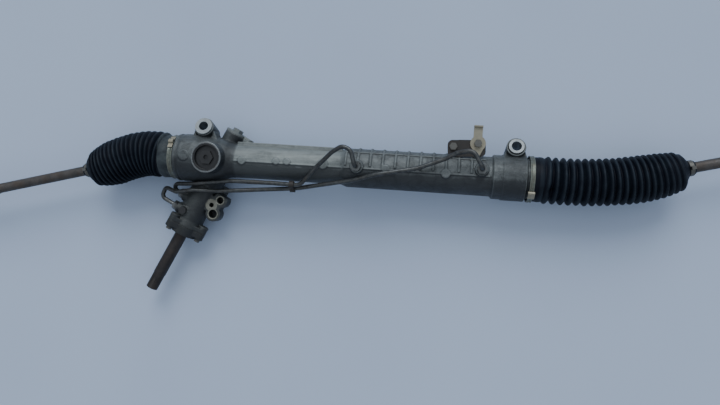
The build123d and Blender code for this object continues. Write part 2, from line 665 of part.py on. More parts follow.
with BuildPart() as input_shaft_bearing:
    ring(pin(101.0), 16.97, SHAFT_R + 0.06, 12)
input_shaft_bearing.part.label = "input_shaft_bearing"
export_step(input_shaft_bearing.part, "parts/input_shaft_bearing.step")

with BuildPart() as input_shaft_seal:
    ring(pin(117.8), 14.95, SHAFT_R + 0.06, 8.2)
    ring(pin(117.0), 13.4, 10.6, 5.0, Mode.SUBTRACT)
input_shaft_seal.part.label = "input_shaft_seal"
export_step(input_shaft_seal.part, "parts/input_shaft_seal.step")

with BuildPart() as seal_snap_ring:
    with BuildSketch(pin(126.8)):
        Circle(15.7)
        Circle(13.2, mode=Mode.SUBTRACT)
        with Locations((0, 15)):
            Rectangle(6, 6, mode=Mode.SUBTRACT)
    extrude(amount=1.4)
seal_snap_ring.part.label = "seal_snap_ring"
export_step(seal_snap_ring.part, "parts/seal_snap_ring.step")

with BuildPart() as valve_plug:
    disc(pin_up(95.0, -8.0, 16.7), 4.95, 5.9)
    hexa(pin_up(95.0, -8.0, 22.6), 11.0, 3.6)
valve_plug.part.label = "valve_plug"
export_step(valve_plug.part, "parts/valve_plug.step")

# ----------------------------------------------------------------- steel pipes
UN_Z = 8.0
near_start = Vector(AX * UNIONS[0] + BX * -20.0)
near_turn = Vector(AX * UNIONS[0] + BX * -46.0)
far_start = Vector(AX * UNIONS[1] + BX * -20.0)
far_turn = Vector(AX * UNIONS[1] + BX * -54.0)
NEAR = [(near_start.X, near_start.Y, PIN_Z + UN_Z), (near_turn.X, near_turn.Y, PIN_Z + UN_Z), (-63.5, -41.5, -2.0),
        (-28.0, -39.5, 12.0), (25.0, -32.0, 14.0), (93.0, -31.0, 16.5), (135.0, -31.8, 20.5), (160.5, -4.0, 33.5),
        (184.5, 18.5, 46.5), (199.5, 28.0, 52.0), (212.5, 22.5, 53.0), (219.0, 1.0, 53.0), (219.0, 1.0, 33.0)]
NEAR_R = [6.0, 8.0, 30.0, 60.0, 40.0, 18.0, 40.0, 30.0, 12.0, 12.0, 9.0]
FAR = [(far_start.X, far_start.Y, PIN_Z + UN_Z), (far_turn.X, far_turn.Y, PIN_Z + UN_Z), (-84.0, -48.0, -5.0),
       (-62.0, -54.5, 5.0), (-35.0, -50.0, 11.0), (9.0, -48.5, 10.5), (128.0, -36.5, 9.5), (168.0, -28.5, 19.0),
       (212.0, -20.0, 29.5), (250.0, -8.5, 36.0), (306.0, 3.0, 37.0), (344.0, 18.5, 39.0), (362.0, 28.0, 45.0),
       (383.0, 32.5, 51.0), (398.0, 8.0, 53.0), (398.0, 8.0, 33.0)]
FAR_RADII = [7.0, 7.5, 12.0, 14.0, 60.0, 60.0, 60.0, 60.0, 70.0, 60.0, 24.0, 14.0, 12.0, 9.0]


def tube(pts, radii):
    with BuildLine() as run:
        FilletPolyline(*[at(*p) for p in pts], radius=radii)
    with BuildSketch(Plane(origin=run.line @ 0, z_dir=run.line % 0)) as sk:
        Circle(PIPE_R)
        Circle(PIPE_R - PIPE_WALL, mode=Mode.SUBTRACT)
    sweep(sk.sketch, path=run.line)


with BuildPart() as transfer_pipe_near:
    tube(NEAR, NEAR_R)
transfer_pipe_near.part.label = "transfer_pipe_near"
export_step(transfer_pipe_near.part, "parts/transfer_pipe_near.step")

with BuildPart() as transfer_pipe_far:
    tube(FAR, FAR_RADII)
transfer_pipe_far.part.label = "transfer_pipe_far"
export_step(transfer_pipe_far.part, "parts/transfer_pipe_far.step")

with BuildPart() as pipe_nuts:
    for s in UNIONS:
        hexa(pin_out(s, -23.4, UN_Z), 13.0, 7.0)
        disc(pin_out(s, -18.7, UN_Z), 5.5, 5.0)
        disc(pin_out(s, -15.0, UN_Z), PIPE_R + 0.15, 18, Mode.SUBTRACT)
    for px, py in PORT_AT:
        hexa(level(px, py, 31.7), 13.0, 7.5)
        disc(level(px, py, 25.5), 5.9, 6.5)
        disc(level(px, py, 24.0), PIPE_R + 0.15, 20.0, Mode.SUBTRACT)
pipe_nuts.part.label = "pipe_nuts"
export_step(pipe_nuts.part, "parts/pipe_nuts.step")

with BuildPart() as pipe_clip:
    with BuildSketch(across(119.0)):
        for yy, zz in ((-31.55, 19.3), (-37.05, 9.6)):
            with Locations((yy, zz)):
                Circle(5.6)
        with Locations((-34.3, 14.45)):
            Rectangle(11.4, 6.0, rotation=60.5)
        for yy, zz in ((-31.55, 19.3), (-37.05, 9.6)):
            with Locations((yy, zz)):
                Circle(3.9, mode=Mode.SUBTRACT)
    extrude(amount=7.0)
pipe_clip.part.label = "pipe_clip"
export_step(pipe_clip.part, "parts/pipe_clip.step")

# ---------------------------------------------------------------- pipe bracket
with BuildPart() as pipe_bracket:
    with BuildSketch(level(0, 0, 16.1)):
        with Locations((375.0, 37.6)):
            RectangleRounded(54.0, 24.0, 7.0, rotation=3.0)
        for bx, by in PADS_AT:
            with Locations((bx, by)):
                Circle(3.3, mode=Mode.SUBTRACT)
    extrude(amount=2.6)
    with BuildSketch(level(0, 0, 16.1)):
        with Locations((370.0, 48.7)):
            Rectangle(14.0, 2.2, rotation=3.0)
    extrude(amount=-7.0)
pipe_bracket.part.label = "pipe_bracket"
export_step(pipe_bracket.part, "parts/pipe_bracket.step")

with BuildPart() as bracket_clip:
    with BuildSketch(level(0, 0, 18.8)):
        with Locations((390.5, 45.2)):
            Circle(11.1)
        with Locations((389.8, 57.4)):
            Rectangle(12.8, 23.0)
        with BuildLine():
            Polyline((382.0, 39.0), (399.0, 39.0), (394.0, 28.0), (387.5, 28.0), close=True)
        make_face()
        with Locations((390.5, 45.2)):
            Circle(3.3, mode=Mode.SUBTRACT)
    extrude(amount=2.0)
    with BuildSketch(level(0, 0, 18.8)):
        with Locations((389.8, 69.8)):
            Rectangle(12.8, 2.0)
    extrude(amount=6.0)
bracket_clip.part.label = "bracket_clip"
export_step(bracket_clip.part, "parts/bracket_clip.step")

with BuildPart() as bracket_screws:
    for (bx, by), base in zip(PADS_AT, (18.8, 20.9)):
        disc(level(bx, by, 7.0), 2.95, base - 7.0 + 0.1)
        hexa(level(bx, by, base), 10.0, 4.7)
bracket_screws.part.label = "bracket_screws"
export_step(bracket_screws.part, "parts/bracket_screws.step")

# -------------------------------------------------------------- mounting bushes
with BuildPart() as mount_bushes:
    for mx in (MOUNT_X, FAR_MOUNT_X):
        ring(bush(mx, -16.0), 11.48, 9.05, 32.0)
mount_bushes.part.label = "mount_bushes"
export_step(mount_bushes.part, "parts/mount_bushes.step")

with BuildPart() as mount_sleeves:
    for mx in (MOUNT_X, FAR_MOUNT_X):
        ring(bush(mx, -18.0), 9.0, 7.1, 37.5)
        ring(bush(mx, 17.0), 13.0 if mx < 0 else 10.9, 7.1, 2.5)
        ring(bush(mx, -19.0), 12.5, 7.1, 2.2)
mount_sleeves.part.label = "mount_sleeves"
export_step(mount_sleeves.part, "parts/mount_sleeves.step")

# ------------------------------------------------------------------- both ends
ROD_C, ROD_S = math.cos(math.radians(ROD_ANGLE)), math.sin(math.radians(ROD_ANGLE))


def rod_plane(side, d):
    """Plane square to a tie rod, d from its ball centre."""
    bx = BALL_L if side < 0 else BALL_R_X
    v = Vector(side * ROD_C, side * ROD_S, 0)
    return Plane(origin=at(bx + v.X * d, v.Y * d, 0), x_dir=(0, 0, 1), z_dir=v)


def end_plane(side, d):
    """Plane square to the rack, d outwards from a ball centre."""
    bx = BALL_L if side < 0 else BALL_R_X
    return Plane(origin=at(bx + side * d, 0, 0), x_dir=(0, 0, 1), z_dir=(side, 0, 0))


def turned(plane, profile, mode=Mode.ADD):
    """Revolve a face drawn as (along, radius) about the plane's normal."""
    axis_plane = Plane(origin=plane.origin, x_dir=plane.z_dir, z_dir=plane.x_dir)
    with BuildSketch(axis_plane) as sk:
        with BuildLine():
            profile()
        make_face()
    revolve(sk.sketch, axis=Axis(plane.origin, plane.z_dir), mode=mode)


def arc_pts(r, a0, a1):
    """Start, middle and end of an arc about the centre, angles from the axis."""
    m = (a0 + a1) / 2.0
    return [(r * math.cos(math.radians(q)), r * math.sin(math.radians(q))) for q in (a0, m, a1)]


CAVITY_R = 12.9


def socket(side):
    def body():
        mouth = math.degrees(math.acos(8.0 / CAVITY_R))
        arc = arc_pts(CAVITY_R, 180.0, mouth)
        ThreePointArc(*arc)
        Polyline(arc[2], (12.0, 14.2), (12.0, 16.0), (6.0, 18.0), (-12.0, 18.0), (-13.0, 15.5), (-18.0, 15.5),
                 (-18.0, 7.0), (-40.0, 7.0), (-40.0, 0.0), arc[0])
    turned(end_plane(side, 0), body)
    hexa(end_plane(side, -18.0), 29.0, 4.4)


def seat(side):
    def shell():
        outer = arc_pts(12.78, 50.0, 142.0)
        inner = arc_pts(11.07, 142.0, 50.0)
        ThreePointArc(*outer)
        Line(outer[2], inner[0])
        ThreePointArc(*inner)
        Line(inner[2], outer[0])
    turned(rod_plane(side, 0), shell)


def tie_rod(side):
    def body():
        arc = arc_pts(BALL_RAD, 180.0, math.degrees(math.asin(5.4 / BALL_RAD)))
        ThreePointArc(*arc)
        Polyline(arc[2], (15.0, 5.4), (20.0, ROD_R), (274.0, ROD_R), (276.0, 8.6), (298.0, 8.6),
                 (300.0, 7.3), (ROD_LEN - 1.5 - THREAD_LEN, 7.3), (ROD_LEN - 1.5 - THREAD_LEN, THREAD_R),
                 (ROD_LEN - 1.5, THREAD_R), (ROD_LEN, THREAD_R - 1.3), (ROD_LEN, 0), arc[0])
    turned(rod_plane(side, 0), body)
    for ud in (-1, 1):
        with BuildSketch(rod_plane(side, 279.0)) as sk:
            with Locations((ud * 11.0, 0)):
                Rectangle(9.0, 30.0)
        extrude(sk.sketch, amount=16.0, mode=Mode.SUBTRACT)


def jam_nut(side):
    hexa(rod_plane(side, 302.0), 22.0, 11.0)
    disc(rod_plane(side, 301.0), 7.33, 13.0, Mode.SUBTRACT)


def small_clamp(side):
    ring(rod_plane(side, 114.0), 11.4, 10.4, 5.6)
    with BuildSketch(rod_plane(side, 114.0)) as sk:
        with Locations((13.2, 0)):
            Rectangle(5.4, 4.6)
    extrude(sk.sketch, amount=5.6)


with BuildPart() as ball_socket_near:
    socket(-1)
ball_socket_near.part.label = "ball_socket_near"
export_step(ball_socket_near.part, "parts/ball_socket_near.step")
with BuildPart() as ball_socket_far:
    socket(1)
ball_socket_far.part.label = "ball_socket_far"
export_step(ball_socket_far.part, "parts/ball_socket_far.step")

with BuildPart() as lock_washers:
    for side in (-1, 1):
        ring(end_plane(side, -19.9), 16.6, 7.1, 1.8)
lock_washers.part.label = "lock_washers"
export_step(lock_washers.part, "parts/lock_washers.step")

with BuildPart() as ball_seat_near:
    seat(-1)
ball_seat_near.part.label = "ball_seat_near"
export_step(ball_seat_near.part, "parts/ball_seat_near.step")
with BuildPart() as ball_seat_far:
    seat(1)
ball_seat_far.part.label = "ball_seat_far"
export_step(ball_seat_far.part, "parts/ball_seat_far.step")

with BuildPart() as tie_rod_near:
    tie_rod(-1)
tie_rod_near.part.label = "tie_rod_near"
export_step(tie_rod_near.part, "parts/tie_rod_near.step")
with BuildPart() as tie_rod_far:
    tie_rod(1)
tie_rod_far.part.label = "tie_rod_far"
export_step(tie_rod_far.part, "parts/tie_rod_far.step")

with BuildPart() as jam_nut_near:
    jam_nut(-1)
jam_nut_near.part.label = "jam_nut_near"
export_step(jam_nut_near.part, "parts/jam_nut_near.step")
with BuildPart() as jam_nut_far:
    jam_nut(1)
jam_nut_far.part.label = "jam_nut_far"
export_step(jam_nut_far.part, "parts/jam_nut_far.step")

with BuildPart() as boot_small_clamp_near:
    small_clamp(-1)
boot_small_clamp_near.part.label = "boot_small_clamp_near"
export_step(boot_small_clamp_near.part, "parts/boot_small_clamp_near.step")
with BuildPart() as boot_small_clamp_far:
    small_clamp(1)
boot_small_clamp_far.part.label = "boot_small_clamp_far"
export_step(boot_small_clamp_far.part, "parts/boot_small_clamp_far.step")


# ------------------------------------------------------------------ the boots
def boot_line(side, t):
    """Centre and direction of a boot at t from 0 (cuff) to 1 (small end)."""
    x0 = LEFT_END if side < 0 else RIGHT_END
    bx = BALL_L if side < 0 else BALL_R_X
    p0 = Vector(x0, 0, 0)
    d = 110.0
    p3 = Vector(bx + side * ROD_C * d, side * ROD_S * d, 0)
    span = (p3 - p0).length
    p1 = p0 + Vector(side * span * 0.40, -side * 3.0, 0)
    p2 = p3 - Vector(side * span * 0.27, side * (20.7 if side < 0 else 21.7), 0)
    u = 1 - t
    pos = p0 * (u ** 3) + p1 * (3 * u * u * t) + p2 * (3 * u * t * t) + p3 * (t ** 3)
    tan = (p1 - p0) * (3 * u * u) + (p2 - p1) * (6 * u * t) + (p3 - p2) * (3 * t * t)
    return pos, tan.normalized()


def boot_sections(side, count, peak, valley, taper_from, last):
    """Rings of (centre, direction, radius) along a boot."""
    out = []
    n = 2 * count
    for k in range(n + 1):
        t = k / n * 0.95
        pos, tan = boot_line(side, t)
        r = peak if k % 2 else valley
        if t > taper_from:
            r = r - (r - last) * ((t - taper_from) / (0.95 - taper_from)) ** 1.8
        out.append((pos, tan, r))
    return out


def boot(side, count, peak, valley, taper_from, last):
    x0 = LEFT_END if side < 0 else RIGHT_END
    secs = boot_sections(side, count, peak, valley, taper_from, last)
    wall = 2.2
    for k, (mode, off) in enumerate(((Mode.ADD, 0.0), (Mode.SUBTRACT, -wall))):
        cuff_r = 32.4 if off == 0.0 else SPIGOT_R + 0.15
        cuff_in = 18.5 if off == 0.0 else 19.5
        cuff_out = 3.0 if off == 0.0 else 2.2
        # cuff over the spigot
        disc(Plane(origin=at(x0 - side * cuff_in, 0, 0), x_dir=(0, 0, 1), z_dir=(side, 0, 0)), cuff_r, cuff_in + cuff_out, mode)
        faces = []
        for p, t, r in secs:
            with BuildSketch(Plane(origin=at(p.X, p.Y, 0), x_dir=(0, 0, 1), z_dir=t)) as sk:
                Circle(r + off)
            faces.append(sk.sketch.faces()[0])
        with BuildSketch(rod_plane(side, 111.5)) as sk:
            Circle(10.1 if off == 0.0 else 8.1)
        faces.append(sk.sketch.faces()[0])
        loft(faces, ruled=True, mode=mode)
        disc(rod_plane(side, 111.5), 10.1 if off == 0.0 else 7.95, 10.5 if off == 0.0 else 12.0, mode)


with BuildPart() as boot_near:
    boot(-1, 17, 35.2, 30.9, 0.66, 23.0)
boot_near.part.label = "boot_near"
export_step(boot_near.part, "parts/boot_near.step")

with BuildPart() as boot_far:
    boot(1, 20, 34.2, 27.6, 0.60, 25.0)
boot_far.part.label = "boot_far"
export_step(boot_far.part, "parts/boot_far.step")


def big_clamp(side, x, w):
    pl = Plane(origin=at(x - side * w / 2.0, 0, 0), x_dir=(0, 1, 0) , z_dir=(side, 0, 0))
    ring(pl, 33.5, 32.55, w)
    return pl


with BuildPart() as boot_clamp_near:
    big_clamp(-1, -66.5, 7.8)
    # crimped ear, on the upper front
    ear = Vector(0, math.sin(math.radians(38.0)), math.cos(math.radians(38.0)))
    with BuildSketch(Plane(origin=Vector(*at(-66.5, 0, 0)) + ear * 33.0, x_dir=(1, 0, 0), z_dir=ear)):
        Rectangle(7.0, 9.0)
    extrude(amount=4.2)
boot_clamp_near.part.label = "boot_clamp_near"
export_step(boot_clamp_near.part, "parts/boot_clamp_near.step")

with BuildPart() as boot_clamp_far:
    big_clamp(1, 468.5, 7.0)
    buckle = Vector(0, -math.sin(math.radians(44.0)), math.cos(math.radians(44.0)))
    with BuildSketch(Plane(origin=Vector(*at(468.5, 0, 0)) + buckle * 33.0, x_dir=(1, 0, 0), z_dir=buckle)):
        RectangleRounded(9.4, 12.0, 1.5)
    extrude(amount=3.8)
boot_clamp_far.part.label = "boot_clamp_far"
export_step(boot_clamp_far.part, "parts/boot_clamp_far.step")
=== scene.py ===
import bpy
import bmesh
import json
import math
import numpy as np
from mathutils import Vector, Matrix


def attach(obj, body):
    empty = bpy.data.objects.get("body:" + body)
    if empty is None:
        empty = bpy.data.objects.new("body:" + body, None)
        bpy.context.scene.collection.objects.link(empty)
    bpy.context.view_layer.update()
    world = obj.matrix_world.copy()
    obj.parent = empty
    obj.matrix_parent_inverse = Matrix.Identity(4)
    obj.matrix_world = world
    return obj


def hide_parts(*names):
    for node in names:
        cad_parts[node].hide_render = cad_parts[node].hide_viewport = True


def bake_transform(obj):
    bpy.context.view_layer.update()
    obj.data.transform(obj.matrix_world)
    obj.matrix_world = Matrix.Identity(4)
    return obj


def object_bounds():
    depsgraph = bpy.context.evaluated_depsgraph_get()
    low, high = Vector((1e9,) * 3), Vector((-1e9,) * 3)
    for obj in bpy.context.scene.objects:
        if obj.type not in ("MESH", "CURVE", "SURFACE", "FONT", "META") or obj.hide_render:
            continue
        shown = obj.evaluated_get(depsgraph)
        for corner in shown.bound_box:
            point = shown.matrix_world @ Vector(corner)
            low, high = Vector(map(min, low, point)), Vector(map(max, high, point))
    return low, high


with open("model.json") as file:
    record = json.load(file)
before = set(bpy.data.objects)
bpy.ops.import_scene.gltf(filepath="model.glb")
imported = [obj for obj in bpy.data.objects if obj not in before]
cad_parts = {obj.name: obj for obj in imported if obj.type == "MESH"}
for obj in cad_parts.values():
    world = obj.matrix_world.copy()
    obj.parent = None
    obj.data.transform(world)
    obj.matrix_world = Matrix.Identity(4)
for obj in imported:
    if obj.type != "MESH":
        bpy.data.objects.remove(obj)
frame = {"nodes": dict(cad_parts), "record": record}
lo0, hi0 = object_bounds()
N = frame["nodes"]
S = bpy.context.scene
COL = S.collection


def P(x, y, z):
    """Layout millimetres (X along the rack, origin at the pinion crossing) to row metres."""
    return Vector(((x + 20.0) / 1000.0, (y - 42.5) / 1000.0, z / 1000.0))


# --------------------------------------------------------------------------- node helpers
class Mat:
    """Small helper that builds one procedural material."""

    def __init__(self, name):
        self.m = bpy.data.materials.new(name)
        self.m.use_nodes = True
        self.t = self.m.node_tree
        self.t.nodes.clear()
        self.out = self.t.nodes.new("ShaderNodeOutputMaterial")
        self.b = self.t.nodes.new("ShaderNodeBsdfPrincipled")
        self.t.links.new(self.b.outputs[0], self.out.inputs[0])
        self.co = self.t.nodes.new("ShaderNodeTexCoord").outputs["Object"]

    def link(self, a, b):
        self.t.links.new(a, b)

    def mapped(self, scale=(1, 1, 1), rot=(0, 0, 0)):
        n = self.t.nodes.new("ShaderNodeMapping")
        n.inputs["Scale"].default_value = scale
        n.inputs["Rotation"].default_value = rot
        self.link(self.co, n.inputs["Vector"])
        return n.outputs[0]

    def noise(self, scale, detail=6.0, rough=0.55, distort=0.0, vec=None):
        n = self.t.nodes.new("ShaderNodeTexNoise")
        n.inputs["Scale"].default_value = scale
        n.inputs["Detail"].default_value = detail
        n.inputs["Roughness"].default_value = rough
        n.inputs["Distortion"].default_value = distort
        self.link(vec if vec is not None else self.co, n.inputs["Vector"])
        return n.outputs["Fac"]

    def voronoi(self, scale, feature="F1", vec=None):
        n = self.t.nodes.new("ShaderNodeTexVoronoi")
        n.feature = feature
        n.inputs["Scale"].default_value = scale
        self.link(vec if vec is not None else self.co, n.inputs["Vector"])
        return n.outputs["Distance"]

    def ramp(self, src, stops, interp="LINEAR"):
        n = self.t.nodes.new("ShaderNodeValToRGB")
        n.color_ramp.interpolation = interp
        e = n.color_ramp.elements
        while len(e) > 2:
            e.remove(e[-1])
        for i, (p, c) in enumerate(stops):
            if i >= 2:
                e.new(p)
            e[i].position = p
            e[i].color = (c, c, c, 1) if isinstance(c, (int, float)) else (*c, 1)
        self.link(src, n.inputs[0])
        return n.outputs[0]

    def mix(self, fac, a, b, blend="MIX"):
        n = self.t.nodes.new("ShaderNodeMix")
        n.data_type = "RGBA"
        n.blend_type = blend
        for sock, v in ((n.inputs[0], fac), (n.inputs[6], a), (n.inputs[7], b)):
            if isinstance(v, bpy.types.NodeSocket):
                self.link(v, sock)
            elif isinstance(v, (int, float)) and sock is n.inputs[0]:
                sock.default_value = v
            else:
                sock.default_value = (*v, 1) if len(v) == 3 else v
        return n.outputs[2]

    def math(self, op, a, b=0.0, c=0.0, clamp=False):
        n = self.t.nodes.new("ShaderNodeMath")
        n.operation = op
        n.use_clamp = clamp
        for sock, v in zip(n.inputs, (a, b, c)):
            if isinstance(v, bpy.types.NodeSocket):
                self.link(v, sock)
            else:
                sock.default_value = v
        return n.outputs[0]

    def point(self, low=0.5, high=0.56):
        g = self.t.nodes.new("ShaderNodeNewGeometry")
        return self.ramp(g.outputs["Pointiness"], [(low, 0.0), (high, 1.0)])

    def axis(self, which):
        n = self.t.nodes.new("ShaderNodeSeparateXYZ")
        self.link(self.co, n.inputs[0])
        return n.outputs[which]

    def normal_axis(self, which):
        g = self.t.nodes.new("ShaderNodeNewGeometry")
        n = self.t.nodes.new("ShaderNodeSeparateXYZ")
        self.link(g.outputs["Normal"], n.inputs[0])
        return n.outputs[which]

    def bump(self, height, dist, strength=1.0, normal=None):
        n = self.t.nodes.new("ShaderNodeBump")
        n.inputs["Distance"].default_value = dist
        n.inputs["Strength"].default_value = strength
        self.link(height, n.inputs["Height"])
        if normal is not None:
            self.link(normal, n.inputs["Normal"])
        return n.outputs[0]

    def done(self, color, rough, metallic=0.0, normal=None, spec=0.5, coat=0.0):
        self.link(color, self.b.inputs["Base Color"])
        if isinstance(rough, bpy.types.NodeSocket):
            self.link(rough, self.b.inputs["Roughness"])
        else:
            self.b.inputs["Roughness"].default_value = rough
        self.b.inputs["Metallic"].default_value = metallic
        self.b.inputs["Specular IOR Level"].default_value = spec
        if coat:
            self.b.inputs["Coat Weight"].default_value = coat
            self.b.inputs["Coat Roughness"].default_value = 0.3
        if normal is not None:
            self.link(normal, self.b.inputs["Normal"])
        return self.m


# --------------------------------------------------------------------------- materials
def cast_alloy(name="cast_alloy", shade_side_amount=0.80, tunnel=True, tone=1.0):
    m = Mat(name)

    def c(*v):
        return tuple(x * tone for x in v)

    big = m.noise(11.0, 5, 0.6)
    mid = m.noise(70.0, 7, 0.65, 0.6)
    fine = m.noise(650.0, 4, 0.6)
    grit = m.voronoi(800.0)
    streak = m.noise(1.0, 6, 0.65, 0.8, m.mapped((16.0, 120.0, 120.0)))
    base = m.mix(m.ramp(big, [(0.36, 0.0), (0.66, 1.0)]), c(0.066, 0.079, 0.084), c(0.110, 0.127, 0.132))
    base = m.mix(m.math("MULTIPLY", m.ramp(streak, [(0.48, 0.0), (0.66, 1.0)]), 0.60), base, c(0.160, 0.182, 0.186))
    base = m.mix(m.math("MULTIPLY", m.ramp(mid, [(0.47, 0.0), (0.62, 1.0)]), 0.60), base, (0.034, 0.039, 0.041))
    base = m.mix(m.math("MULTIPLY", m.ramp(fine, [(0.42, 0.0), (0.60, 1.0)]), 0.28), base, c(0.17, 0.19, 0.19))
    if tunnel:
        # the tunnel between head and cylinder is cleaner than the rest
        x = m.axis(0)
        up = m.ramp(x, [(0.0505, 0.0), (0.0535, 1.0)])
        dn = m.ramp(x, [(0.200, 1.0), (0.235, 0.0)])
        z = m.math("MULTIPLY", m.math("MULTIPLY", up, dn), m.ramp(streak, [(0.30, 0.35), (0.60, 1.0)]))
        base = m.mix(m.math("MULTIPLY", z, 0.75), base, (0.245, 0.280, 0.275))
        # painted shadow: the strip between the yoke tower and the tunnel is darkened as the tower's shadow
        corner = m.math("MULTIPLY", m.ramp(x, [(0.034, 0.0), (0.039, 1.0)]), m.ramp(x, [(0.0500, 1.0), (0.0530, 0.0)]))
        base = m.mix(m.math("MULTIPLY", corner, 0.72), base, (0.026, 0.031, 0.035))
        # head and far collar carry more dirt
        dirty = m.math("MAXIMUM", m.ramp(x, [(0.030, 1.0), (0.052, 0.0)]), m.ramp(x, [(0.440, 0.0), (0.456, 1.0)]))
        patch = m.ramp(m.noise(26.0, 5, 0.62, 0.4), [(0.36, 0.25), (0.60, 1.0)])
        base = m.mix(m.math("MULTIPLY", m.math("MULTIPLY", dirty, patch), 0.52), base, (0.026, 0.031, 0.035))
    # painted shade: faces turned towards -Y, away from the key light, are darkened, broken up by noise
    ny = m.t.nodes.new("ShaderNodeSeparateXYZ")
    m.link(m.t.nodes.new("ShaderNodeTexCoord").outputs["Normal"], ny.inputs[0])
    low = m.math("ADD", m.math("MULTIPLY", ny.outputs[1], -1.0), m.math("MULTIPLY", m.math("SUBTRACT", mid, 0.5), 0.5))
    base = m.mix(m.math("MULTIPLY", m.ramp(low, [(0.0, 0.0), (0.24, 1.0)]), shade_side_amount), base, (0.018, 0.022, 0.027))
    base = m.mix(m.math("MULTIPLY", m.point(0.512, 0.565), 0.60), base, c(0.27, 0.30, 0.30))
    # crevice dirt and painted shade: concave creases are darkened to near black
    base = m.mix(m.math("MULTIPLY", m.ramp(m.point(0.44, 0.492), [(0.0, 1.0), (1.0, 0.0)]), 0.85), base, (0.010, 0.012, 0.013))
    rough = m.ramp(mid, [(0.3, 0.40), (0.7, 0.62)])
    n1 = m.bump(fine, 0.00055, 0.9)
    n2 = m.bump(grit, 0.0002, 0.6, n1)
    n3 = m.bump(mid, 0.0016, 0.7, n2)
    return m.done(base, rough, 0.30, n3)


def steel(name, c1, c2, rough, metallic=0.85, rust=None, rust_amt=0.0, grain=(60.0, 900.0, 900.0), bump=0.00012, edge=None):
    m = Mat(name)
    lines = m.noise(1.0, 5, 0.6, 0.0, m.mapped(grain))
    blot = m.noise(55.0, 6, 0.62, 0.5)
    fine = m.noise(750.0, 4, 0.6)
    base = m.mix(m.ramp(lines, [(0.35, 0.0), (0.65, 1.0)]), c1, c2)
    base = m.mix(m.math("MULTIPLY", m.ramp(fine, [(0.45, 0.0), (0.65, 1.0)]), 0.35), base, tuple(v * 0.55 for v in c1))
    if rust is not None:
        base = m.mix(m.math("MULTIPLY", m.ramp(blot, [(0.50 - 0.12 * rust_amt, 0.0), (0.66, 1.0)]), rust_amt), base, rust)
    base = m.mix(m.math("MULTIPLY", m.point(0.51, 0.58), 0.5), base, edge or tuple(min(1.0, v * 1.6 + 0.03) for v in c2))
    r = m.ramp(blot, [(0.3, max(0.05, rough - 0.08)), (0.7, min(1.0, rough + 0.14))])
    n = m.bump(fine, bump, 0.7)
    n = m.bump(lines, bump * 0.7, 0.5, n)
    return m.done(base, r, metallic, n)


def rubber(name, c1, c2, dust_and_sheen, dust_and_sheen_amt, rough=0.5, bump=0.0001, spec=0.5, cuff=False):
    m = Mat(name)
    big = m.noise(22.0, 6, 0.62, 0.3)
    fine = m.noise(900.0, 4, 0.6)
    base = m.mix(m.ramp(big, [(0.35, 0.0), (0.65, 1.0)]), c1, c2)
    # convex crests take a lighter tint: on the boot a bluish painted highlight, on the other rubbers grey dust
    up = m.point(0.49, 0.58)
    base = m.mix(m.math("MULTIPLY", m.math("MULTIPLY", up, m.ramp(m.noise(48.0, 6, 0.7), [(0.35, 0.2), (0.7, 1.0)])), dust_and_sheen_amt), base, dust_and_sheen)
    if cuff:
        # dried road dirt on the plain cuff next to the pinion head
        x = m.axis(0)
        zone = m.math("MULTIPLY", m.math("GREATER_THAN", x, -0.0655), m.math("LESS_THAN", x, 0.1))
        base = m.mix(m.math("MULTIPLY", zone, m.ramp(m.noise(90.0, 6, 0.65), [(0.32, 0.35), (0.62, 0.95)])), base, (0.060, 0.074, 0.080))
    r = m.ramp(big, [(0.3, rough - 0.07), (0.7, rough + 0.12)])
    n = m.bump(fine, bump, 0.6)
    n = m.bump(m.noise(140.0, 5, 0.6), 0.0003, 0.35, n)
    return m.done(base, r, 0.0, n, spec=spec)


def plastic(name, c1, c2, rough):
    m = Mat(name)
    big = m.noise(60.0, 5, 0.6)
    fine = m.noise(800.0, 4, 0.6)
    base = m.mix(m.ramp(big, [(0.35, 0.0), (0.65, 1.0)]), c1, c2)
    n = m.bump(fine, 0.00006, 0.5)
    return m.done(base, m.ramp(big, [(0.3, rough - 0.05), (0.7, rough + 0.1)]), 0.0, n)


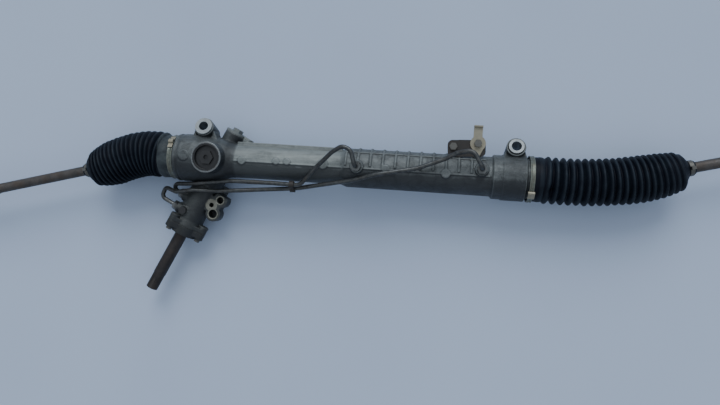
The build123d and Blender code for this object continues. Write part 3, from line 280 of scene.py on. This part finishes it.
M = {
    "cast_alloy": cast_alloy(),
    "valve_alloy": cast_alloy("valve_alloy", 0.70, False, 0.42),
    "cover_alloy": cast_alloy("cover_alloy", 0.60, False, 0.26),
    "steel": steel("steel", (0.42, 0.42, 0.43), (0.56, 0.56, 0.57), 0.30, 1.0, (0.20, 0.15, 0.11), 0.25),
    "machined": steel("machined", (0.135, 0.150, 0.158), (0.210, 0.226, 0.234), 0.38, 0.75, (0.11, 0.10, 0.085), 0.45, grain=(500.0, 500.0, 500.0)),
    "port_metal": steel("port_metal", (0.17, 0.175, 0.150), (0.255, 0.260, 0.220), 0.40, 0.6, (0.10, 0.095, 0.07), 0.4, grain=(420.0, 420.0, 420.0)),
    "sleeve_steel": steel("sleeve_steel", (0.105, 0.124, 0.136), (0.165, 0.188, 0.202), 0.40, 0.7, (0.09, 0.085, 0.075), 0.40, grain=(500.0, 500.0, 500.0)),
    "dark_zinc": steel("dark_zinc", (0.050, 0.052, 0.050), (0.090, 0.092, 0.086), 0.45, 0.6, (0.07, 0.055, 0.035), 0.4, grain=(300.0, 300.0, 300.0)),
    "plug_dark": steel("plug_dark", (0.006, 0.007, 0.009), (0.014, 0.016, 0.019), 0.46, 0.15, (0.030, 0.028, 0.026), 0.3, grain=(300.0, 300.0, 300.0), edge=(0.026, 0.028, 0.031)),
    "shaft_dark": steel("shaft_dark", (0.020, 0.019, 0.021), (0.042, 0.038, 0.038), 0.50, 0.45, (0.060, 0.046, 0.036), 0.5, grain=(60.0, 60.0, 60.0), bump=0.0002, edge=(0.07, 0.065, 0.06)),
    "rust_steel": steel("rust_steel", (0.055, 0.047, 0.043), (0.085, 0.070, 0.062), 0.55, 0.55, (0.105, 0.070, 0.046), 0.55, grain=(90.0, 90.0, 90.0), bump=0.0003),
    "rod_steel": steel("rod_steel", (0.060, 0.058, 0.057), (0.100, 0.094, 0.090), 0.50, 0.55, (0.095, 0.072, 0.056), 0.55, grain=(90.0, 90.0, 90.0), bump=0.0003),
    "zinc": steel("zinc", (0.105, 0.122, 0.108), (0.180, 0.198, 0.172), 0.42, 0.7, (0.16, 0.12, 0.07), 0.35, grain=(300.0, 300.0, 300.0)),
    "yellow_zinc": steel("yellow_zinc", (0.135, 0.130, 0.098), (0.225, 0.215, 0.165), 0.45, 0.5, (0.16, 0.11, 0.05), 0.45, grain=(260.0, 260.0, 260.0)),
    "pipe_steel": steel("pipe_steel", (0.050, 0.055, 0.058), (0.100, 0.108, 0.110), 0.33, 0.75, (0.055, 0.042, 0.030), 0.35, grain=(200.0, 200.0, 200.0)),
    "black_paint": steel("black_paint", (0.0045, 0.0042, 0.0042), (0.010, 0.009, 0.0085), 0.55, 0.0, (0.050, 0.034, 0.024), 0.40, grain=(150.0, 150.0, 150.0), bump=0.0003, edge=(0.030, 0.028, 0.026)),
    "bearing": steel("bearing", (0.55, 0.55, 0.57), (0.66, 0.66, 0.68), 0.20, 1.0),
    "boot_rubber": rubber("boot_rubber", (0.0020, 0.0030, 0.0075), (0.0050, 0.0070, 0.0135), (0.046, 0.070, 0.092), 0.66, 0.50, spec=0.14, cuff=True),
    "bush_rubber": rubber("bush_rubber", (0.010, 0.010, 0.010), (0.020, 0.020, 0.020), (0.06, 0.06, 0.055), 0.3, 0.65),
    "seal_rubber": rubber("seal_rubber", (0.012, 0.012, 0.012), (0.022, 0.022, 0.022), (0.05, 0.05, 0.05), 0.2, 0.55),
    "ptfe": plastic("ptfe", (0.42, 0.36, 0.28), (0.50, 0.44, 0.35), 0.45),
    "nylon": plastic("nylon", (0.62, 0.60, 0.52), (0.72, 0.70, 0.62), 0.45),
    "spring_steel": steel("spring_steel", (0.16, 0.16, 0.17), (0.26, 0.26, 0.27), 0.35, 0.95),
}

slots = {s["node"]: s["material_slot"] for s in frame["record"]["subparts"]}


def paint(obj, mat):
    obj.data.materials.clear()
    obj.data.materials.append(mat)


for name, o in N.items():
    paint(o, M[slots[name]])
if "mount_sleeves" in N:
    paint(N["mount_sleeves"], M["sleeve_steel"])
for n in ("tie_rod_near", "tie_rod_far"):
    paint(N[n], M["rod_steel"])
for n in ("valve_housing_bolts", "valve_cover_bolts", "boot_small_clamp_near", "boot_small_clamp_far", "bracket_screws"):
    paint(N[n], M["dark_zinc"])
paint(N["yoke_plug"], M["plug_dark"])
paint(N["valve_plug"], M["plug_dark"])
paint(N["valve_cover"], M["cover_alloy"])
for n in ("input_shaft", "torsion_pin_upper"):
    paint(N[n], M["shaft_dark"])


# --------------------------------------------------------------------------- mesh helpers
def new_mesh(name, verts, faces, mat, smooth=True):
    me = bpy.data.meshes.new(name)
    me.from_pydata([tuple(v) for v in verts], [], faces)
    me.validate()
    me.update()
    if smooth:
        me.shade_smooth()
    o = bpy.data.objects.new(name, me)
    COL.objects.link(o)
    me.materials.append(mat)
    return o


def apply_modifiers(o):
    bpy.context.view_layer.update()
    dg = bpy.context.evaluated_depsgraph_get()
    me = bpy.data.meshes.new_from_object(o.evaluated_get(dg), preserve_all_data_layers=True, depsgraph=dg)
    old = o.data
    o.modifiers.clear()
    o.data = me
    bpy.data.meshes.remove(old)


def copy_nodes(name, nodes, mat):
    """One mesh with the joined surfaces of some CAD nodes."""
    bm = bmesh.new()
    for n in nodes:
        bm.from_mesh(N[n].data)
    bmesh.ops.remove_doubles(bm, verts=bm.verts, dist=2e-6)
    me = bpy.data.meshes.new(name)
    bm.to_mesh(me)
    bm.free()
    o = bpy.data.objects.new(name, me)
    COL.objects.link(o)
    me.materials.clear()
    me.materials.append(mat)
    return o


def remesh(o, voxel, smooth_iter, factor=0.5):
    m = o.modifiers.new("r", "REMESH")
    m.mode = "VOXEL"
    m.voxel_size = voxel
    m.adaptivity = 0.0
    if smooth_iter:
        s = o.modifiers.new("s", "SMOOTH")
        s.factor = factor
        s.iterations = smooth_iter
    apply_modifiers(o)
    o.data.shade_smooth()


def revolve(profile, frame_o, frame_x, frame_u, seg=96, closed=False):
    """Turn (along, radius) pairs about frame_x. Returns verts and faces, caps where the radius is 0."""
    fx = frame_x.normalized()
    u = frame_u.normalized()
    w = fx.cross(u)
    verts, faces = [], []
    rings = []
    for a, r in profile:
        if r < 1e-7:
            verts.append(frame_o + fx * a)
            rings.append([len(verts) - 1] * seg)
            continue
        ring = []
        for k in range(seg):
            t = 2 * math.pi * k / seg
            verts.append(frame_o + fx * a + (u * math.cos(t) + w * math.sin(t)) * r)
            ring.append(len(verts) - 1)
        rings.append(ring)
    pairs = list(zip(rings[:-1], rings[1:]))
    if closed:
        pairs.append((rings[-1], rings[0]))
    for a, b in pairs:
        for k in range(seg):
            q = [a[k], a[(k + 1) % seg], b[(k + 1) % seg], b[k]]
            f = []
            for i in q:
                if i not in f:
                    f.append(i)
            if len(f) > 2:
                faces.append(f)
    return verts, faces


# --------------------------------------------------------------------------- housing
VOX = 0.0009
house_nodes = sorted(n for n in N if n.startswith("rack_housing"))
house = copy_nodes("rack_housing_cast", house_nodes, M["cast_alloy"])


def add_prism(o, outline, z0, z1):
    """Join an upright prism (layout millimetres) to a mesh before it is remeshed."""
    bm = bmesh.new()
    bm.from_mesh(o.data)
    low = [bm.verts.new(P(x, y, z0)) for x, y in outline]
    top = [bm.verts.new(P(x, y, z1)) for x, y in outline]
    n = len(outline)
    side_faces = [bm.faces.new((low[i], low[(i + 1) % n], top[(i + 1) % n], top[i])) for i in range(n)]
    caps = [bm.faces.new(low[::-1]), bm.faces.new(top)]
    bmesh.ops.recalc_face_normals(bm, faces=side_faces + caps)
    bm.to_mesh(o.data)
    bm.free()


add_prism(house, [(-45.0, 22.0), (-37.5, 33.0), (-35.0, 41.5), (-33.0, 43.0), (-33.0, 36.0), (-30.0, 30.5), (-25.0, 27.8),
                  (-20.0, 27.2), (-15.0, 27.8), (-10.0, 30.5), (-7.0, 36.0), (-7.0, 43.0), (-4.5, 41.0), (5.0, 22.0), (-20.0, 15.0)], -8.0, 13.5)
remesh(house, VOX, 2, 0.5)
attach(house, "housing")
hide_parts(*house_nodes)

valve = copy_nodes("valve_housing_cast", ["valve_housing"], M["valve_alloy"])
remesh(valve, VOX * 0.8, 2, 0.5)
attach(valve, "housing")
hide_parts("valve_housing")



def machine_faces(o, pairs):
    """Faces of o for which a test holds get that test's finish."""
    me = o.data
    for mat, _ in pairs:
        me.materials.append(mat)
    n = len(me.polygons)
    c = np.empty(n * 3, np.float32)
    nr = np.empty(n * 3, np.float32)
    me.polygons.foreach_get("center", c)
    me.polygons.foreach_get("normal", nr)
    c = c.reshape(-1, 3).astype(float) * 1000.0
    nr = nr.reshape(-1, 3)
    c[:, 0] -= 20.0
    c[:, 1] += 42.5
    idx = np.zeros(n, np.int32)
    for i, (_, t) in enumerate(pairs):
        idx[t(c, nr)] = i + 1
    me.polygons.foreach_set("material_index", idx)
    me.update()


AX = np.array([-0.4371, -0.8994, 0.0])
BX = np.array([0.8994, -0.4371, 0.0])
YOKE_X = -3.0


def yoke_rim(c, n):
    q = np.hypot(c[:, 0] - YOKE_X, c[:, 1])
    return (n[:, 2] > 0.55) & (c[:, 2] > 43.5) & (q < 24.0) & (q > 20.4)


# painted shade: housing faces inside the yoke bore and its chamfer take the near-black plug finish
def yoke_bore(c, n):
    q = np.hypot(c[:, 0] - YOKE_X, c[:, 1])
    return (c[:, 2] > 33.0) & (q < 20.4)



def pinion_rim(c, n):
    s_ = c @ AX
    return ((n @ AX) < -0.85) & (s_ < -46.0) & (s_ > -48.5) & (np.abs(c[:, 2] + 17.0) < 20.0)


def collar_rim(c, n):
    return (n[:, 0] > 0.9) & (c[:, 0] > 455.0)


def port_face(c, n):
    flat = (n[:, 2] > 0.70) & (np.abs(c[:, 2] + 3.0) < 1.6)
    q1 = np.hypot(c[:, 0] + 4.414, c[:, 1] + 84.578)
    q2 = np.hypot(c[:, 0] - 6.077, c[:, 1] + 62.993)
    q3 = np.hypot(c[:, 0] + 7.340, c[:, 1] + 70.926)
    return flat & ((q1 < 8.3) | (q2 < 6.9) | (q3 < 9.5))


def cover_seat(c, n):
    return ((n @ AX) > 0.9) & ((c @ AX) > 114.5)


machine_faces(house, [(M["machined"], yoke_rim), (M["machined"], pinion_rim), (M["machined"], collar_rim), (M["plug_dark"], yoke_bore)])
machine_faces(valve, [(M["port_metal"], port_face), (M["port_metal"], cover_seat)])

cover = copy_nodes("valve_cover_cast", ["valve_cover"], M["cover_alloy"])
remesh(cover, VOX * 0.8, 2, 0.5)
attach(cover, "housing")
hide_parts("valve_cover")

# --------------------------------------------------------------------------- boots
ROD_C, ROD_S = math.cos(math.radians(14.6)), math.sin(math.radians(14.6))
BALL = {-1: -97.0, 1: 573.0}


def rod_point(side, d):
    return (BALL[side] + side * ROD_C * d, side * ROD_S * d)


def boot_curve(side, t):
    """Centre (x, y) and direction of a boot's middle line in layout millimetres."""
    x0 = -80.0 if side < 0 else 483.0
    p0 = Vector((x0, 0.0))
    p3 = Vector(rod_point(side, 110.0))
    span = (p3 - p0).length
    p1 = p0 + Vector((side * span * 0.40, 13.0 if side < 0 else -3.0))
    p2 = p3 - Vector((side * span * 0.27, -5.0 if side < 0 else 21.7))
    u = 1.0 - t
    pos = p0 * u ** 3 + p1 * (3 * u * u * t) + p2 * (3 * u * t * t) + p3 * t ** 3
    tan = (p1 - p0) * (3 * u * u) + (p2 - p1) * (6 * u * t) + (p3 - p2) * (3 * t * t)
    return pos, tan.normalized()


def boot_rings(side, count, peak, valley, taper, last, end_profile, per):
    """List of (centre, direction, outer radius, is_valley) from the big cuff to the small one."""
    x0 = -80.0 if side < 0 else 483.0
    rings = []
    ax = Vector((float(side), 0.0))
    cuff = [(-17.6, 31.6), (-17.2, 32.2), (-13.0, 32.45), (-12.2, 32.1), (-5.0, 32.1), (-4.2, 32.5), (-2.0, 32.6), (0.6, 32.3), (2.2, 31.7)]
    if side < 0:
        cuff = cuff[:7] + [(0.6, 32.7), (2.6, 32.9), (4.0, 32.6), (5.0, 31.9)]
    for dx, r in cuff:
        rings.append((Vector((x0 + side * dx, 0.0)), ax, r, False))
    ts = np.linspace(0.0, 0.955, 400)
    pts = [boot_curve(side, float(t))[0] for t in ts]
    arc = np.concatenate([[0.0], np.cumsum([(q - p).length for p, q in zip(pts[:-1], pts[1:])])])
    start = 3.0 if side > 0 else 5.8
    n = count * per
    for k in range(n + 1):
        f = k / n
        pitch = f + 0.05 * math.sin(math.pi * f) * (1 if side > 0 else 0.2)
        s = start + (arc[-1] - start) * pitch / 1.0 if pitch < 1 else arc[-1]
        t = float(np.interp(s, arc, ts))
        pos, tan = boot_curve(side, t)
        ph = k / per
        shape = (math.sin(math.pi * ph) ** 2) ** 0.62
        wob = 0.35 * math.sin(ph * 2.3 + side) + 0.2 * math.sin(ph * 5.1)
        pk = peak + wob * 0.5
        vl = valley - wob * 0.3
        if side > 0:
            vl += 4.4 * max(0.0, f - 0.45) / 0.55
        if f < 0.06:
            vl = vl + (30.8 - vl) * (1 - f / 0.06)
        r = vl + (pk - vl) * shape
        if f > taper:
            r -= (pk - last) * ((f - taper) / (1.0 - taper)) ** 1.9
        rings.append((pos, tan, r, k % per == 0))
    ax = Vector((side * ROD_C, side * ROD_S))
    for d, r in end_profile:
        rings.append((Vector(rod_point(side, d)), ax, r, False))
    return rings


def ring_solid(name, rings, seg, wall, dent=None, mat="boot_rubber"):
    """Closed shell: the outer skin, a skin inside it and a flat ring at each end."""
    verts, faces = [], []
    n = len(rings)
    z = Vector((0.0, 0.0, 1.0))
    for off in (0.0, wall):
        for c, a, r, _ in rings:
            side_dir = Vector((-a.y, a.x, 0.0))
            rr = max(r - off, 7.75)
            for k in range(seg):
                t = 2 * math.pi * k / seg
                rad = rr
                if dent is not None:
                    rad += dent(c, t, rr)
                v = Vector((c.x, c.y, 0.0)) + (z * math.cos(t) + side_dir * math.sin(t)) * rad
                verts.append(P(v.x, v.y, v.z))
    def idx(layer, i, k):
        return layer * n * seg + i * seg + (k % seg)
    for i in range(n - 1):
        for k in range(seg):
            faces.append([idx(0, i, k), idx(0, i, k + 1), idx(0, i + 1, k + 1), idx(0, i + 1, k)])
            faces.append([idx(1, i, k), idx(1, i + 1, k), idx(1, i + 1, k + 1), idx(1, i, k + 1)])
    for i, flip in ((0, False), (n - 1, True)):
        for k in range(seg):
            f = [idx(0, i, k), idx(1, i, k), idx(1, i, k + 1), idx(0, i, k + 1)]
            faces.append(f[::-1] if flip else f)
    o = new_mesh(name, verts, faces, M[mat])
    bm = bmesh.new()
    bm.from_mesh(o.data)
    bmesh.ops.recalc_face_normals(bm, faces=bm.faces)
    bm.to_mesh(o.data)
    bm.free()
    o.data.shade_smooth()
    return o


def make_boot(side, count, peak, valley, taper, last, end_profile, cuts_x, x_b, x_c, dent=None):
    """One bellows as a chain of closed folds, cut at the valleys nearest the given x positions."""
    nm = "near" if side < 0 else "far"
    per = 12
    seg = 96
    rings = boot_rings(side, count, peak, valley, taper, last, end_profile, per)
    valleys = [i for i, r in enumerate(rings) if r[3]]
    def near_x(x):
        return min(valleys, key=lambda i: abs(rings[i][0].x - x))
    ks = [0] + [near_x(x) for x in cuts_x] + [near_x(x_b), near_x(x_c), len(rings) - 1]
    names = []
    nA = len(cuts_x) + 1
    for j in range(len(ks) - 1):
        part = rings[ks[j]:ks[j + 1] + 1]
        o = ring_solid("boot_%s_fold_%d" % (nm, j + 1), part, seg, 1.4, dent)
        if j < nA:
            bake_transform(o)
        elif j == nA:
            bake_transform(o)
        else:
            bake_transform(o)
        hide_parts("boot_" + nm)
        names.append(o)
    return names


make_boot(-1, 17, 35.2, 31.0, 0.64, 26.6,
          [(105.5, 22.6), (108.5, 21.0), (111.0, 18.2), (112.8, 14.6), (114.2, 11.4), (115.0, 10.1), (122.0, 10.0), (122.8, 9.4)],
          (-96.0, -108.0, -121.0, -133.0), -150.0, -176.0)


def far_dent(c, t, r):
    """The fold that is pushed in behind the clamp, on the upper side."""
    dx = (c.x - 496.0) / 8.5
    dt = (t + 2 * math.pi if t < 0 else t)
    dt = min(abs(dt - math.radians(327.0)), abs(dt + 2 * math.pi - math.radians(327.0)), abs(dt - 2 * math.pi - math.radians(327.0)))
    g = math.exp(-dx * dx) * math.exp(-(dt / 0.26) ** 2)
    edge = math.exp(-((c.x - 505.0) / 4.0) ** 2) * math.exp(-(dt / 0.34) ** 2)
    return -4.6 * g + 0.5 * edge


make_boot(1, 20, 34.1, 26.9, 0.64, 27.6,
          [(104.7, 22.6), (107.5, 19.2), (110.5, 15.4), (112.6, 11.9), (113.8, 10.3), (121.5, 10.1), (122.3, 9.5)],
          (512.0, 543.0, 574.0, 603.0), 631.0, 653.0, far_dent)


# --------------------------------------------------------------------------- torsion bar, a smooth-shaded copy of the CAD part
bar = copy_nodes("torsion_bar_ground", ["torsion_bar"], M[slots["torsion_bar"]])
bar.data.shade_smooth()
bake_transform(bar)
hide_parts("torsion_bar")

# --------------------------------------------------------------------------- tie rods
ROD_LEN, THREAD_LEN, BALL_RAD = 376.0, 60.0, 11.0


def make_rod(side):
    """Ball, neck, shank, the two spanner flats and the rolled M14 x 1.5 thread of one tie rod."""
    nm = "near" if side < 0 else "far"
    seg = 64
    prof = []
    br = BALL_RAD
    a_end = math.asin(5.4 / br)
    for i in range(25):
        a = math.pi - (math.pi - a_end) * i / 24
        prof.append((br * math.cos(a), br * math.sin(a)))
    prof += [(15.0, 5.4), (16.5, 5.9), (18.5, 7.0), (20.0, 7.6), (60.0, 7.6), (120.0, 7.6), (180.0, 7.6), (240.0, 7.6), (274.0, 7.6), (274.8, 7.9), (276.0, 8.6)]
    for d in (278.2, 279.0, 279.2, 285.0, 291.0, 294.8, 295.0, 295.8):
        prof.append((d, 8.6))
    prof += [(298.0, 8.6), (299.0, 8.0), (300.0, 7.3), (ROD_LEN - 1.5 - THREAD_LEN - 0.5, 7.3)]
    t0, t1, pitch = ROD_LEN - 1.5 - THREAD_LEN, ROD_LEN - 1.5, 1.5
    per = 5
    n = int((t1 - t0) / pitch * per)
    for i in range(n + 1):
        prof.append((t0 + (t1 - t0) * i / n, -1.0))
    prof += [(ROD_LEN - 0.4, 6.0), (ROD_LEN, 5.6), (ROD_LEN, 0.0)]
    prof[0] = (-br, 0.0)
    o3 = Vector((BALL[side], 0.0, 0.0))
    a3 = Vector((side * ROD_C, side * ROD_S, 0.0))
    s3 = Vector((-a3.y, a3.x, 0.0))
    z3 = Vector((0.0, 0.0, 1.0))
    verts, faces, rings = [], [], []
    for d, r0 in prof:
        if r0 == 0.0:
            v = o3 + a3 * d
            verts.append(P(v.x, v.y, v.z))
            rings.append([len(verts) - 1] * seg)
            continue
        ring = []
        for k in range(seg):
            th = 2 * math.pi * k / seg
            rr = r0
            if r0 < 0:
                ph = ((d - t0) / pitch - th / (2 * math.pi)) % 1.0
                tri = 1.0 - abs(2.0 * ph - 1.0)
                rr = 6.14 + 0.86 * min(1.0, max(0.0, (tri - 0.06) / 0.80))
                rr = min(rr, 6.2 + (d - t0) * 0.55, 6.2 + (t1 - d) * 0.55) if (d - t0 < 1.5 or t1 - d < 1.5) else rr
            if 278.9 <= d <= 295.1:
                lim = 6.5
                if abs(math.cos(th)) * rr > lim:
                    rr = lim / abs(math.cos(th))
            v = o3 + a3 * d + (z3 * math.cos(th) + s3 * math.sin(th)) * rr
            verts.append(P(v.x, v.y, v.z))
            ring.append(len(verts) - 1)
        rings.append(ring)
    for a, b in zip(rings[:-1], rings[1:]):
        for k in range(seg):
            q = []
            for i in (a[k], a[(k + 1) % seg], b[(k + 1) % seg], b[k]):
                if i not in q:
                    q.append(i)
            if len(q) > 2:
                faces.append(q)
    o = new_mesh("tie_rod_%s_forged" % nm, verts, faces, M["rod_steel"])
    bm = bmesh.new()
    bm.from_mesh(o.data)
    bmesh.ops.recalc_face_normals(bm, faces=bm.faces)
    bm.to_mesh(o.data)
    bm.free()
    sharp(o, 40.0)
    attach(o, nm + "_tie_rod")
    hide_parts("tie_rod_" + nm)
    return o


def sharp(o, deg):
    """Smooth shading with edges steeper than deg kept crisp."""
    me = o.data
    me.shade_smooth()
    bm = bmesh.new()
    bm.from_mesh(me)
    lim = math.radians(deg)
    for e in bm.edges:
        if len(e.link_faces) == 2 and e.calc_face_angle(0.0) > lim:
            e.smooth = False
    bm.to_mesh(me)
    bm.free()


make_rod(-1)
make_rod(1)

# --------------------------------------------------------------------------- clamps
def strip(name, path, th, width, origin, t_dir, r_dir, x_dir, mat):
    """A bent strip: path in (tangential, radial) millimetres, th thick and width wide."""
    n = len(path)
    lo_, up = [], []
    for i, (t, r) in enumerate(path):
        a = path[max(0, i - 1)]
        b = path[min(n - 1, i + 1)]
        d = Vector((b[0] - a[0], b[1] - a[1])).normalized()
        nrm = Vector((-d.y, d.x))
        lo_.append((t - nrm.x * th / 2, r - nrm.y * th / 2))
        up.append((t + nrm.x * th / 2, r + nrm.y * th / 2))
    loop = lo_ + up[::-1]
    verts, faces = [], []
    m = len(loop)
    for xs in (-width / 2, -width / 2 + 0.25, width / 2 - 0.25, width / 2):
        shrink = 0.12 if abs(abs(xs) - width / 2) < 1e-6 else 0.0
        for t, r in loop:
            v = origin + t_dir * t + r_dir * (r - shrink * (1 if r > 0 else -1)) + x_dir * xs
            verts.append(P(v.x, v.y, v.z))
    for j in range(3):
        for i in range(m):
            faces.append([j * m + i, j * m + (i + 1) % m, (j + 1) * m + (i + 1) % m, (j + 1) * m + i])
    for i in range(n - 1):
        faces.append([i, i + 1, m - 2 - i, m - 1 - i])
        b = 3 * m
        faces.append([b + i, b + m - 1 - i, b + m - 2 - i, b + i + 1])
    o = new_mesh(name, verts, faces, M[mat], False)
    bm = bmesh.new()
    bm.from_mesh(o.data)
    bmesh.ops.recalc_face_normals(bm, faces=bm.faces)
    bm.to_mesh(o.data)
    bm.free()
    return o


def band(name, x, w, r0, r1, mat, body="housing"):
    h = w / 2
    prof = [(-h, r0), (-h, r1 - 0.15), (-h + 0.35, r1 + 0.28), (-h + 0.9, r1 + 0.3), (-h + 1.35, r1), (0, r1 + 0.04),
            (h - 1.35, r1), (h - 0.9, r1 + 0.3), (h - 0.35, r1 + 0.28), (h, r1 - 0.15), (h, r0)]
    v, f = revolve([(a / 1000, r / 1000) for a, r in prof], P(x, 0, 0), Vector((1, 0, 0)), Vector((0, 0, 1)), 144, True)
    o = new_mesh(name, v, f, M[mat])
    bm = bmesh.new()
    bm.from_mesh(o.data)
    bmesh.ops.recalc_face_normals(bm, faces=bm.faces)
    bm.to_mesh(o.data)
    bm.free()
    o.data.shade_auto_smooth(angle=math.radians(35)) if hasattr(o.data, "shade_auto_smooth") else None
    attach(o, body)
    return o


def radial(deg):
    """Outward and tangential directions at an angle from straight up towards +Y."""
    a = math.radians(deg)
    return Vector((0, math.sin(a), math.cos(a))), Vector((0, math.cos(a), -math.sin(a)))


near_band = band("boot_clamp_near_band", -65.0, 7.4, 32.55, 33.5, "zinc")
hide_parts("boot_clamp_near")
rd, td = radial(38.0)
org = Vector((-65.0, 0, 0)) + rd * 33.6
omega = [(-10.5, 0.0), (-6.0, 0.45), (-4.0, 0.75), (-3.3, 1.4), (-3.1, 2.6), (-2.6, 3.7), (-1.5, 4.2), (0.0, 4.0), (1.5, 4.2), (2.6, 3.7), (3.1, 2.6), (3.3, 1.4), (4.0, 0.75), (6.0, 0.45), (10.5, 0.0)]
near_ear = strip("boot_clamp_near_ear", omega, 0.9, 7.2, org, td, rd, Vector((1, 0, 0)), "yellow_zinc")
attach(near_ear, "housing")

far_band = band("boot_clamp_far_band", 468.5, 6.8, 32.55, 33.5, "zinc")
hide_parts("boot_clamp_far")
rd, td = radial(-44.0)
org = Vector((468.5, 0, 0)) + rd * 33.6
buckle = strip("boot_clamp_far_buckle", [(-5.6, -0.3), (-5.9, 1.0), (-5.3, 2.3), (-4.0, 2.8), (4.0, 2.8), (5.3, 2.3), (5.9, 1.0), (5.6, -0.3)], 1.1, 9.4, org, td, rd, Vector((1, 0, 0)), "yellow_zinc")
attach(buckle, "housing")
for q, xo in (("a", -1.9), ("b", 1.9)):
    pth = []
    for i in range(9):
        a = math.radians(i * 3.6 + 8.0)
        pth.append((-math.sin(a) * 34.2, math.cos(a) * 34.2 - 33.6))
    tail = strip("boot_clamp_far_tail_" + q, pth, 0.8, 1.7, org + Vector((xo, 0, 0)), td, rd, Vector((1, 0, 0)), "zinc")
    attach(tail, "housing")

# --------------------------------------------------------------------------- floor, light, camera
zlow = min(v for v in (lo0[2],))
floor_z = zlow - 0.0006
fm = Mat("floor_paint")
fn = fm.noise(3.0, 3, 0.5)
fc = fm.mix(fm.ramp(fn, [(0.3, 0.0), (0.7, 1.0)]), (0.430, 0.530, 0.700), (0.455, 0.558, 0.728))
floor_mat = fm.done(fc, 0.85, 0.0, fm.bump(fm.noise(300.0, 3, 0.5), 0.0001, 0.2))
floor = new_mesh("studio_floor", [(-6, -6, floor_z), (6, -6, floor_z), (6, 6, floor_z), (-6, 6, floor_z)], [(0, 1, 2, 3)], floor_mat, False)

cam_data = bpy.data.cameras.new("camera")
cam_data.sensor_width = 36.0
cam_data.lens = 30.0
cam_data.clip_start = 0.01
cam = bpy.data.objects.new("camera", cam_data)
COL.objects.link(cam)
cam.location = (0.3532798, -0.0884053, 0.8919618)
cam.rotation_euler = (0.00297190, 0.12163873, 0.07014825)
S.camera = cam


def area(name, loc, target, size, power, color):
    d = bpy.data.lights.new(name, "AREA")
    d.shape = "RECTANGLE"
    d.size, d.size_y = size
    d.energy = power
    d.color = color
    o = bpy.data.objects.new(name, d)
    COL.objects.link(o)
    o.location = loc
    o.rotation_euler = (Vector(target) - Vector(loc)).to_track_quat("-Z", "Y").to_euler()
    return o


def sun(name, direction, strength, angle, color):
    d = bpy.data.lights.new(name, "SUN")
    d.energy = strength
    d.angle = math.radians(angle)
    d.color = color
    o = bpy.data.objects.new(name, d)
    COL.objects.link(o)
    o.rotation_euler = Vector(direction).to_track_quat("-Z", "Y").to_euler()
    return o


sun("key", (0.03, -0.78, -0.62), 1.62, 38.0, (0.97, 0.985, 1.0))
sun("fill", (0.0, -0.10, -1.0), 0.72, 110.0, (0.92, 0.96, 1.0))
w = bpy.data.worlds.new("room")
S.world = w
w.use_nodes = True
w.node_tree.nodes["Background"].inputs[0].default_value = (0.66, 0.72, 0.83, 1)
w.node_tree.nodes["Background"].inputs[1].default_value = 0.46
